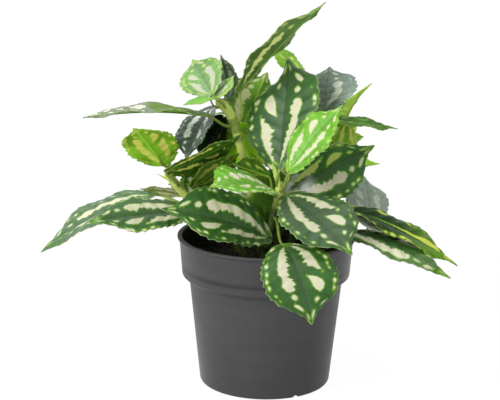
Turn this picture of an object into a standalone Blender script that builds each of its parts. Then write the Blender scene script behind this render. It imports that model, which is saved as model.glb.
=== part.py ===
"""Potted aluminum plant: a nursery pot, its soil, seven stems and forty-six leaves.

Standalone Blender 4.5 script. Metres, +Z up. The origin is the centre of the pot's flat underside.
The front of the plant looks along -Y.
"""

import math

import bmesh
import bpy
import numpy as np

MM = 0.001
CLEARANCE = 0.3 * MM          # room that touching pieces keep

# ---- pot -------------------------------------------------------------------------------------
POT_HEIGHT = 85.0 * MM
LIP_RADIUS = 50.0 * MM
LIP_HEIGHT = 1.6 * MM
LIP_WIDTH = 2.0 * MM          # flat ring on top of the lip
LIP_ROUNDING = 0.3 * MM
COLLAR_TOP_RADIUS = 48.8 * MM
COLLAR_BOTTOM_RADIUS = 47.2 * MM
COLLAR_BOTTOM = 62.6 * MM     # the wide upper band ends here
COLLAR_ROUNDING = 0.6 * MM
STEP_RADIUS = 43.0 * MM
STEP_HEIGHT = 59.4 * MM
FOOT_RADIUS = 36.9 * MM
FOOT_ROUNDING = 0.9 * MM
WALL = 1.5 * MM
FLOOR = 2.0 * MM
RECESS_DEPTH = 1.2 * MM       # shallow ring under the floor that lets water away
RECESS_OUTER = 34.0 * MM
RECESS_INNER = 12.0 * MM
TURN_STEPS = 40

DRAIN_COUNT = 6
DRAIN_RADIUS = 3.0 * MM
DRAIN_CIRCLE = 24.0 * MM
DRAIN_CUTTER_LENGTH = 12.0 * MM
NOTCH_COUNT = 3
NOTCH_WIDTH = 3.7 * MM
NOTCH_HEIGHT = 1.5 * MM
NOTCH_CUTTER_LENGTH = 5.0 * MM
CUTTER_SIDES = 16
NOTCH_FIRST_ANGLE = -62.0     # degrees from +X, one notch right of the front

# ---- soil ------------------------------------------------------------------------------------
SOIL_EDGE = 71.0 * MM         # height of the soil at the wall
SOIL_CROWN = 72.5 * MM        # height of the soil at the middle
SOIL_CROWN_RADIUS = 22.0 * MM
SOIL_CROWN_DROP = 0.3 * MM    # how far the soil falls from the middle to the crown's radius
WALL_GAP = 1.4 * CLEARANCE    # between the soil and the sloping wall

# ---- stems -----------------------------------------------------------------------------------
STEM_SIDES_RESOLUTION = 2     # eight sides
STEM_STEPS = 3                # smooth steps between two points of a route

SOCKET_ROOM = 0.4 * MM        # room for a stem in its socket in the soil
WELD_DISTANCE = 0.01 * MM

# name: (foot radius, top radius, route points), all in millimetres. Each route starts in the soil.
STEMS = {
    "stem_left": (2.2, 2.3, [(-4, 0, 58), (-22, 3, 86), (-43, 2, 104), (-56, -2, 120.5)]),
    "stem_left_inner": (2.0, 1.6, [(-8, 6, 58), (-24, 10, 88), (-38, 11, 103), (-42, 8, 113)]),
    "stem_tall": (1.8, 2.4, [(-2, 9, 58), (-8, 12, 100), (-19, 12, 146), (-28, 8, 160)]),
    "stem_centre": (2.4, 2.2, [(-4, -5, 58), (1.5, -5, 86), (5.5, -6, 104), (7.5, -6, 117)]),
    "stem_right": (2.2, 1.7, [(9, 6, 58), (19, 19, 92), (31, 28, 122), (40, 19, 145)]),
    "stem_right_low": (2.2, 1.8, [(12, -2, 58), (24, 1, 78), (38, 4, 92), (47, 6, 98)]),
    "stem_back": (2.2, 1.8, [(5, 13, 58), (8, 22, 100), (11, 29, 139)]),
}

# ---- leaves ----------------------------------------------------------------------------------
LEAF_THICKNESS = 0.9 * MM
PETIOLE_LEAN = 0.3            # how much a petiole starts along its stem, against outward
PETIOLE_PULL = 0.35           # length of a petiole's Bezier handles, as a share of its span
PETIOLE_HALF_WIDTH = 0.75 * MM
TIP_HALF_WIDTH = 0.3 * MM
PETIOLE_STATIONS = 4
BLADE_STATIONS = 8
ACROSS = 5                    # points across the leaf, odd so that one row is the midrib
BASE_FULLNESS = 0.70          # a smaller power gives a rounder base
TIP_FULLNESS = 0.80
TIP_START = 0.70              # where the drawn-out tip begins
TIP_SPAN = 0.26
TIP_NARROWING = 0.62

# Each leaf: (name, stem, share of the stem's length where it grows,
#             blade base x, y, z in millimetres,
#             heading from +X, rise of the chord, roll about the chord, in degrees,
#             length, width in millimetres, droop over the length, fold of each half, in degrees)
LEAVES = [
    ("leaf_left_1", "stem_left", 0.72, -65, 10, 104.6, -171, -27, -7, 71, 36, 30, 8),
    ("leaf_left_2", "stem_left", 0.68, -43.5, -6, 99.6, -160, -2, -19, 57, 34, 8, 5),
    ("leaf_left_3", "stem_left", 0.76, -47.7, 18.1, 102.7, 179, 7, 27, 25, 26, 14, -2),
    ("leaf_left_4", "stem_left", 0.97, -58.6, -2.5, 125.8, -114, 38, 21, 42, 31, 27, 7),
    ("leaf_left_5", "stem_left", 0.98, -54, 4, 122, 95, 48, -67, 22, 14, 20, 20),
    ("leaf_left_6", "stem_left", 0.89, -54.9, -8.5, 123.4, 10, 25, -37, 45, 32, -17, -8),
    ("leaf_left_7", "stem_left_inner", 0.96, -41.6, 4.3, 111.2, 2, 36, -36, 32, 34, -5, -1),
    ("leaf_tall_1", "stem_tall", 0.83, -34.6, 2.2, 152.6, -168, 0, 4, 68, 34, 19, 11),
    ("leaf_tall_2", "stem_tall", 0.97, -31.1, 4, 164, 118, 32, -40, 29, 29, -17, 18),
    ("leaf_tall_3", "stem_tall", 0.97, -31.4, 5.5, 161.6, 25, 40, 10, 18, 13, -10, -5),
    ("leaf_tall_4", "stem_tall", 0.92, -21.8, 19.9, 158.5, 130, 72, 12, 25, 16, 6, 20),
    ("leaf_tall_5", "stem_tall", 0.9, -31.5, 26, 151.7, -123, -46, 20, 37, 32, 29, 13),
    ("leaf_tall_6", "stem_tall", 0.75, -25, 19.5, 147.1, 162, -62, -70, 30, 24, 20, 10),
    ("leaf_tall_7", "stem_tall", 0.86, -15, 27, 139, 19, 64, -84, 36, 38, 10, 10),
    ("leaf_tall_8", "stem_tall", 0.84, -14.9, 7.6, 166.3, -25, 46, -6, 71, 34, 10, 14),
    ("leaf_tall_9", "stem_tall", 0.8, -24.5, 19.5, 142, 3, -42, -83, 31, 25, 6, 6),
    ("leaf_tall_10", "stem_tall", 0.22, 4, 5, 84, 92, 87, 0, 42, 26, 4, 5),
    ("leaf_tall_11", "stem_tall", 0.42, -20, 28, 106, 138, -14, 0, 52, 38, 40, 10),
    ("leaf_tall_12", "stem_tall", 0.55, -18, 40, 132, 120, 5, 0, 46, 34, 40, 10),
    ("leaf_tall_13", "stem_tall", 0.95, -30.3, -2.4, 162.7, -166, -11, -4, 17, 13, 10, 4),
    ("leaf_centre_1", "stem_centre", 0.97, 6.4, -9.4, 125.8, 82, 60, -26, 64, 48, -9, 7),
    ("leaf_centre_2", "stem_centre", 0.92, 12.5, -19.4, 126.9, 11, 51, 26, 45, 30, 15, 10),
    ("leaf_centre_3", "stem_centre", 0.76, 11.7, 3.2, 109, -1, 30, 100, 55, 38, 7, 25),
    ("leaf_centre_4", "stem_centre", 0.84, 11.3, -13.4, 110.2, -47, -24, 12, 55, 45, 23, 5),
    ("leaf_centre_5", "stem_centre", 0.66, 9, -39, 89, -62, -48, 10, 50, 44, 75, 5),
    ("leaf_centre_6", "stem_centre", 0.86, 2, -13.1, 113.9, -142, 10, -13, 43, 38, 35, 9),
    ("leaf_centre_7", "stem_centre", 0.36, 0.3, -11.8, 86.8, -165, 18, -38, 63, 41, 24, 17),
    ("leaf_centre_8", "stem_centre", 0.9, 0.4, -5.1, 119.9, -189, 16, 46, 21, 23, 5, 9),
    ("leaf_right_1", "stem_right", 0.9, 31.8, 18.9, 153.1, 74, 63, -26, 25, 47, 11, 4),
    ("leaf_right_2", "stem_right", 0.97, 44.1, 25.1, 145.4, 50, 36, -35, 31, 21, 30, 13),
    ("leaf_right_3", "stem_right", 0.98, 28.8, 5.8, 149.5, 16, -9, 6, 47, 22, 11, 7),
    ("leaf_right_4", "stem_right", 0.88, 43.5, 13.5, 147.2, -89, -79, -48, 28, 25, 5, -1),
    ("leaf_right_5", "stem_right", 0.96, 46.4, 27.5, 133.5, 0, 14, 11, 9, 13, 4, 8),
    ("leaf_right_6", "stem_right", 0.60, 42, 27, 116, 20, 5, 6, 25, 20, 10, 20),
    ("leaf_right_7", "stem_right", 0.80, 34, 34, 128, 84, 5, 0, 42, 34, 40, 10),
    ("leaf_low_1", "stem_right_low", 0.86, 59.4, 24.8, 84.2, 103, 62, 35, 30, 41, 27, -1),
    ("leaf_low_2", "stem_right_low", 0.94, 47.7, 3.9, 99.2, -6, -27, 7, 68, 31, 14, 9),
    ("leaf_low_3", "stem_right_low", 0.85, 42.9, -4.2, 88.6, -18, -19, 3, 66, 34, 33, 1),
    ("leaf_low_4", "stem_right_low", 0.98, 49.3, 4.7, 95.5, -15, -20.5, 3, 28, 24, 7, 5),
    ("leaf_back_1", "stem_back", 0.97, 19, 41.6, 166, 140, 43, 13, 28, 29, 11, 1),
    ("leaf_back_2", "stem_back", 0.86, 21, 36, 138, 60, 10, 0, 48, 36, 40, 10),
    ("leaf_back_3", "stem_back", 0.93, 2, 46, 139, 110, 0, 0, 48, 36, 40, 10),
    ("leaf_back_4", "stem_back", 0.66, 12, 36, 112, 100, -8, 0, 56, 40, 40, 10),
    ("leaf_back_5", "stem_back", 0.64, 23, 35, 114, 70, 0, 0, 52, 38, 40, 10),
    ("leaf_back_6", "stem_back", 0.45, -4, 30, 96, 112, -15, 0, 54, 40, 40, 10),
    ("leaf_back_7", "stem_back", 0.36, 20, 27, 92, 65, -20, 0, 50, 38, 40, 10),
    ("leaf_back_8", "stem_left_inner", 0.60, -39, 22, 98.5, 98, 85, 0, 21, 23, 4, 6),
]


# ---- scene helpers ---------------------------------------------------------------------------
def clear_scene():
    for item in list(bpy.data.objects):
        bpy.data.objects.remove(item, do_unlink=True)


def new_collection(name):
    group = bpy.data.collections.new(name)
    bpy.context.scene.collection.children.link(group)
    return group


def material(name, colour, roughness, metallic=0.0):
    finish = bpy.data.materials.new(name)
    finish.use_nodes = True
    shader = finish.node_tree.nodes["Principled BSDF"]
    shader.inputs["Base Color"].default_value = (*colour, 1.0)
    shader.inputs["Roughness"].default_value = roughness
    shader.inputs["Metallic"].default_value = metallic
    return finish


def add_object(name, data, group, finish=None):
    item = bpy.data.objects.new(name, data)
    group.objects.link(item)
    if finish is not None:
        data.materials.append(finish)
    return item


def mark_as_cutter(item):
    item.hide_render = True
    item.display_type = "WIRE"


def cut(target, cutter):
    boolean = target.modifiers.new("cut_" + cutter.name, "BOOLEAN")
    boolean.operation = "DIFFERENCE"
    boolean.solver = "EXACT"
    boolean.object = cutter


def turned(name, outline, group, finish):
    """A closed turned body. The outline holds (radius, height) and runs down its outer side."""
    mesh = bpy.data.meshes.new(name)
    points = [(radius, 0.0, height) for radius, height in outline]
    mesh.from_pydata(points, [(i, i + 1) for i in range(len(points) - 1)], [])
    item = add_object(name, mesh, group, finish)
    screw = item.modifiers.new("turn", "SCREW")
    screw.steps = TURN_STEPS
    screw.render_steps = TURN_STEPS
    screw.use_merge_vertices = True
    screw.merge_threshold = WELD_DISTANCE
    screw.use_smooth_shade = False
    return item


def peg(name, radius, height, location, group):
    """An upright cylinder that cuts a hole."""
    mesh = bpy.data.meshes.new(name)
    shape = bmesh.new()
    bmesh.ops.create_cone(
        shape, cap_ends=True, segments=CUTTER_SIDES, radius1=radius, radius2=radius, depth=height)
    shape.to_mesh(mesh)
    shape.free()
    item = add_object(name, mesh, group)
    item.location = location
    mark_as_cutter(item)
    return item


# ---- pot and soil ----------------------------------------------------------------------------
def inner_radius(height):
    """Radius of the pot's inner wall at a height."""
    heights = [0.0, STEP_HEIGHT, COLLAR_BOTTOM, POT_HEIGHT]
    radii = [FOOT_RADIUS, STEP_RADIUS, COLLAR_BOTTOM_RADIUS, COLLAR_TOP_RADIUS]
    return float(np.interp(height, heights, radii)) - WALL


def pot_outline():
    floor_top = RECESS_DEPTH + FLOOR
    lip_under = POT_HEIGHT - LIP_HEIGHT
    lip_outer = LIP_RADIUS - LIP_ROUNDING
    return [
        (0.0, floor_top),
        (inner_radius(floor_top), floor_top),
        (inner_radius(STEP_HEIGHT), STEP_HEIGHT),
        (inner_radius(COLLAR_BOTTOM), COLLAR_BOTTOM),
        (inner_radius(lip_under), lip_under),
        (lip_outer - LIP_WIDTH, POT_HEIGHT),
        (lip_outer, POT_HEIGHT),
        (LIP_RADIUS, POT_HEIGHT - LIP_ROUNDING),
        (LIP_RADIUS, lip_under + LIP_ROUNDING),
        (COLLAR_TOP_RADIUS, lip_under),
        (COLLAR_BOTTOM_RADIUS, COLLAR_BOTTOM + COLLAR_ROUNDING),
        (COLLAR_BOTTOM_RADIUS - COLLAR_ROUNDING, COLLAR_BOTTOM - 0.3 * COLLAR_ROUNDING),
        (STEP_RADIUS, STEP_HEIGHT),
        (FOOT_RADIUS, FOOT_ROUNDING),
        (FOOT_RADIUS - 0.3 * FOOT_ROUNDING, 0.3 * FOOT_ROUNDING),
        (FOOT_RADIUS - FOOT_ROUNDING, 0.0),
        (RECESS_OUTER, 0.0),
        (RECESS_OUTER, RECESS_DEPTH),
        (RECESS_INNER, RECESS_DEPTH),
        (RECESS_INNER, 0.0),
        (0.0, 0.0),
    ]


def make_pot(parts, cutters):
    plastic = material("pot_plastic", (0.060, 0.060, 0.064), 0.42)
    pot = turned("pot", pot_outline(), parts, plastic)
    for index in range(DRAIN_COUNT):
        angle = math.tau * index / DRAIN_COUNT
        place = (DRAIN_CIRCLE * math.cos(angle), DRAIN_CIRCLE * math.sin(angle), 0.0)
        cut(pot, peg("drain_%d" % index, DRAIN_RADIUS, DRAIN_CUTTER_LENGTH, place, cutters))
    for index in range(NOTCH_COUNT):
        angle = math.radians(NOTCH_FIRST_ANGLE) + math.tau * index / NOTCH_COUNT
        middle = 0.5 * (FOOT_RADIUS + RECESS_OUTER)
        radius = 0.5 * NOTCH_WIDTH
        place = (middle * math.cos(angle), middle * math.sin(angle), NOTCH_HEIGHT - radius)
        notch = peg("notch_%d" % index, radius, NOTCH_CUTTER_LENGTH, place, cutters)
        notch.rotation_euler = (0.0, 0.5 * math.pi, angle)
        cut(pot, notch)
    return pot


def make_soil(parts):
    humus = material("potting_soil", (0.020, 0.015, 0.011), 0.95)
    bottom = RECESS_DEPTH + FLOOR + CLEARANCE
    outline = [
        (0.0, SOIL_CROWN),
        (SOIL_CROWN_RADIUS, SOIL_CROWN - SOIL_CROWN_DROP),
        (inner_radius(SOIL_EDGE) - WALL_GAP, SOIL_EDGE),
        (inner_radius(COLLAR_BOTTOM) - WALL_GAP, COLLAR_BOTTOM + WALL_GAP),
        (inner_radius(STEP_HEIGHT) - WALL_GAP, STEP_HEIGHT + WALL_GAP),
        (inner_radius(bottom) - WALL_GAP, bottom),
        (0.0, bottom),
    ]
    return turned("soil", outline, parts, humus)


# ---- stems -----------------------------------------------------------------------------------
def smooth_route(points):
    """Catmull-Rom curve through the points, in metres, with STEM_STEPS steps a span."""
    route = np.array(points, float) * MM
    padded = np.vstack([2 * route[0] - route[1], route, 2 * route[-1] - route[-2]])
    rows = []
    for span in range(len(route) - 1):
        a, b, c, d = padded[span:span + 4]
        for t in np.arange(STEM_STEPS) / STEM_STEPS:
            rows.append(0.5 * (2 * b + (c - a) * t + (2 * a - 5 * b + 4 * c - d) * t ** 2
                               + (3 * b - a - 3 * c + d) * t ** 3))
    rows.append(route[-1])
    return np.array(rows)


def along(route, share):
    """Point and direction at a share of a route's length."""
    steps = np.linalg.norm(np.diff(route, axis=0), axis=1)
    length = np.concatenate([[0.0], np.cumsum(steps)])
    target = share * length[-1]
    index = min(int(np.searchsorted(length, target, side="right")) - 1, len(steps) - 1)
    part = (target - length[index]) / steps[index]
    point = route[index] + part * (route[index + 1] - route[index])
    return point, (route[index + 1] - route[index]) / steps[index]


def tube(name, route, radii, group, finish=None):
    """A round rod along a route with closed ends."""
    curve = bpy.data.curves.new(name, "CURVE")
    curve.dimensions = "3D"
    curve.bevel_depth = 1.0
    curve.bevel_resolution = STEM_SIDES_RESOLUTION
    curve.use_fill_caps = True
    spline = curve.splines.new("POLY")
    spline.points.add(len(route) - 1)
    for point, place, radius in zip(spline.points, route, radii):
        point.co = (*place, 1.0)
        point.radius = radius
    return add_object(name, curve, group, finish)


def as_mesh(item, group):
    """The same shape as a closed mesh object; the curve is removed."""
    bpy.context.view_layer.update()
    depsgraph = bpy.context.evaluated_depsgraph_get()
    mesh = bpy.data.meshes.new_from_object(item.evaluated_get(depsgraph))
    shape = bmesh.new()
    shape.from_mesh(mesh)
    bmesh.ops.remove_doubles(shape, verts=shape.verts, dist=WELD_DISTANCE)
    bmesh.ops.recalc_face_normals(shape, faces=shape.faces)
    shape.to_mesh(mesh)
    shape.free()
    name = item.name
    place = item.matrix_world.copy()
    bpy.data.objects.remove(item, do_unlink=True)
    copy = bpy.data.objects.new(name, mesh)
    copy.matrix_world = place
    group.objects.link(copy)
    return copy


def make_stems(parts, cutters, soil):
    """Builds the stems, cuts a socket for each in the soil, and returns their routes and radii."""
    green = material("stem_green", (0.42, 0.50, 0.15), 0.5)
    stems = {}
    for name, (foot, top, points) in STEMS.items():
        route = smooth_route(points)
        radii = np.linspace(foot, top, len(route)) * MM
        as_mesh(tube(name, route, radii, parts, green), parts)
        buried = route[:STEM_STEPS + 1].copy()
        heading = (buried[1] - buried[0]) / np.linalg.norm(buried[1] - buried[0])
        buried[0] -= SOCKET_ROOM * heading
        socket = tube("socket_" + name, buried, radii[:STEM_STEPS + 1] + SOCKET_ROOM, cutters)
        socket = as_mesh(socket, cutters)
        mark_as_cutter(socket)
        cut(soil, socket)
        stems[name] = (route, radii)
    return stems


# ---- leaves ----------------------------------------------------------------------------------
def half_width(share, width):
    """Half width of a blade: round at the base, widest near the middle, drawn out at the tip."""
    peak = BASE_FULLNESS / (BASE_FULLNESS + TIP_FULLNESS)
    scale = peak ** BASE_FULLNESS * (1 - peak) ** TIP_FULLNESS
    body = share ** BASE_FULLNESS * (1 - share) ** TIP_FULLNESS / scale
    ramp = np.clip((share - TIP_START) / TIP_SPAN, 0, 1)
    taper = 1 - TIP_NARROWING * ramp * ramp * (3 - 2 * ramp)
    low = PETIOLE_HALF_WIDTH + (TIP_HALF_WIDTH - PETIOLE_HALF_WIDTH) * share
    return np.maximum(0.5 * width * body * taper, low)


def turn_about(vectors, axis, angle):
    """Rodrigues' rotation of row vectors about a unit axis."""
    cos, sin = math.cos(angle), math.sin(angle)
    return vectors * cos + np.cross(axis, vectors) * sin + np.outer(vectors @ axis, axis) * (1 - cos)


def blade_rows(base, heading, rise, roll, length, droop, shares):
    """Midrib points, side and up directions of a blade that bends down as a circular arc."""
    forward = np.array([math.cos(heading), math.sin(heading), 0.0])
    side = np.array([math.sin(heading), -math.cos(heading), 0.0])
    start = rise + 0.5 * droop
    slope = start - droop * shares
    radius = length / droop
    out = radius * (math.sin(start) - np.sin(slope))
    up = radius * (np.cos(slope) - math.cos(start))
    points = np.outer(out, forward) + np.outer(up, [0, 0, 1])
    normals = np.outer(-np.sin(slope), forward) + np.outer(np.cos(slope), [0, 0, 1])
    sides = np.tile(side, (len(shares), 1))
    chord = math.cos(rise) * forward + math.sin(rise) * np.array([0, 0, 1])
    turned_rows = [turn_about(rows, chord, roll) for rows in (points, sides, normals)]
    return turned_rows[0] + base, turned_rows[1], turned_rows[2]


def petiole_rows(stem, share, base, side, direction):
    """Points from the stem's skin to the blade's base along one Bezier curve, with side directions."""
    route, radii = stem
    root, axis = along(route, share)
    reach = base - root
    outward = reach - (reach @ axis) * axis
    outward /= np.linalg.norm(outward)
    radius = float(np.interp(share, np.linspace(0, 1, len(radii)), radii))
    start = root + outward * (radius + 0.5 * LEAF_THICKNESS + CLEARANCE)
    span = np.linalg.norm(base - start)
    lean = outward + PETIOLE_LEAN * axis
    lean /= np.linalg.norm(lean)
    knots = [start, start + PETIOLE_PULL * span * lean, base - PETIOLE_PULL * span * direction, base]
    t = (np.arange(PETIOLE_STATIONS) / PETIOLE_STATIONS)[:, None]
    rows = ((1 - t) ** 3 * knots[0] + 3 * (1 - t) ** 2 * t * knots[1]
            + 3 * (1 - t) * t ** 2 * knots[2] + t ** 3 * knots[3])
    tangents = np.gradient(np.vstack([rows, base]), axis=0)[:-1]
    tangents /= np.linalg.norm(tangents, axis=1)[:, None]
    sides = side - (tangents @ side)[:, None] * tangents
    sides /= np.linalg.norm(sides, axis=1)[:, None]
    return rows, sides, np.cross(sides, tangents)


def make_leaf(entry, stems, parts, finish):
    """One leaf: petiole and blade are one sheet, given its thickness by Solidify."""
    name, stem_name, share = entry[:3]
    base = np.array(entry[3:6], float) * MM
    heading, rise, roll = np.radians(entry[6:9])
    length, width = np.array(entry[9:11], float) * MM
    droop, fold = np.radians(entry[11:13])
    shares = np.linspace(0, 1, BLADE_STATIONS)
    blade, blade_sides, blade_ups = blade_rows(base, heading, rise, roll, length, droop, shares)
    direction = np.cross(blade_ups[0], blade_sides[0])
    stalk, stalk_sides, stalk_ups = petiole_rows(stems[stem_name], share, base, blade_sides[0], direction)
    points = np.vstack([stalk, blade])
    sides = np.vstack([stalk_sides, blade_sides])
    ups = np.vstack([stalk_ups, blade_ups])
    halves = np.concatenate([np.full(PETIOLE_STATIONS, PETIOLE_HALF_WIDTH), half_width(shares, width)])
    across = np.linspace(-1, 1, ACROSS)
    offset = (halves * math.cos(fold))[:, None, None] * across[None, :, None] * sides[:, None, :]
    lift = (halves * math.sin(fold))[:, None, None] * abs(across)[None, :, None] * ups[:, None, :]
    lift[:PETIOLE_STATIONS] = 0.0
    grid = (points[:, None, :] + offset + lift).reshape(-1, 3)

    shape = bmesh.new()
    bmesh.ops.create_grid(shape, x_segments=ACROSS - 1, y_segments=len(points) - 1, size=1.0)
    shape.verts.ensure_lookup_table()
    for vertex, place in zip(shape.verts, grid):
        vertex.co = place
    mesh = bpy.data.meshes.new(name)
    shape.to_mesh(mesh)
    shape.free()
    leaf = add_object(name, mesh, parts, finish)
    solid = leaf.modifiers.new("thickness", "SOLIDIFY")
    solid.thickness = LEAF_THICKNESS
    solid.offset = 0.0
    return leaf


def main():
    clear_scene()
    parts = new_collection("potted_aluminum_plant")
    cutters = new_collection("cutters")
    make_pot(parts, cutters)
    soil = make_soil(parts)
    stems = make_stems(parts, cutters, soil)
    green = material("leaf_green", (0.048, 0.127, 0.045), 0.45)
    for entry in LEAVES:
        make_leaf(entry, stems, parts, green)


main()
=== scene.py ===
"""A potted aluminum plant: printed leaves on moulded stems, dark soil and a grey nursery pot."""

import math

import bmesh
import bpy
import numpy as np
from mathutils import Matrix, Vector


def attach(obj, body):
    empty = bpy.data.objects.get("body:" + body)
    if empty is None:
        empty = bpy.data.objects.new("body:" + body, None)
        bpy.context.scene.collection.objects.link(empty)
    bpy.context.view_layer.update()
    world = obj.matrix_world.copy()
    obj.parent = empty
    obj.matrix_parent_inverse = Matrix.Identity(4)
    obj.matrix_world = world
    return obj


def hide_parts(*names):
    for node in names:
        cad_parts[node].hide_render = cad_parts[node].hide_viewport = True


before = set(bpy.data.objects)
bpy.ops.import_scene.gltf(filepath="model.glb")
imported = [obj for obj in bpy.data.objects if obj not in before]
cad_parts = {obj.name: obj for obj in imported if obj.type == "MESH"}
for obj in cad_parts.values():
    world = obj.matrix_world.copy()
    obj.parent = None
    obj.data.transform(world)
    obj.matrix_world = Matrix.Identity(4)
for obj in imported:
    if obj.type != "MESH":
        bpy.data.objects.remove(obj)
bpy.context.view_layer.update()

bl_info = {
    "name": "Potted aluminum plant",
    "version": (1, 0, 0),
    "blender": (4, 5, 0),
    "location": "View3D > Sidebar > Plant",
    "description": "Builds the pot, soil, stems and printed leaves over the packed frame",
    "category": "Add Mesh",
}

MM = 0.001

# ---- the plant's layout ------------------------------------------------------------------------
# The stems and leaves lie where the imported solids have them.
# name: (foot radius, top radius, route points), in millimetres
STEMS = {
    "stem_left": (2.2, 2.3, [(-4, 0, 58), (-22, 3, 86), (-43, 2, 104), (-56, -2, 120.5)]),
    "stem_left_inner": (2.0, 1.6, [(-8, 6, 58), (-24, 10, 88), (-38, 11, 103), (-42, 8, 113)]),
    "stem_tall": (1.8, 2.4, [(-2, 9, 58), (-8, 12, 100), (-19, 12, 146), (-28, 8, 160)]),
    "stem_centre": (2.4, 2.2, [(-4, -5, 58), (1.5, -5, 86), (5.5, -6, 104), (7.5, -6, 117)]),
    "stem_right": (2.2, 1.7, [(9, 6, 58), (19, 19, 92), (31, 28, 122), (40, 19, 145)]),
    "stem_right_low": (2.2, 1.8, [(12, -2, 58), (24, 1, 78), (38, 4, 92), (47, 6, 98)]),
    "stem_back": (2.2, 1.8, [(5, 13, 58), (8, 22, 100), (11, 29, 139)]),
}

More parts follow.
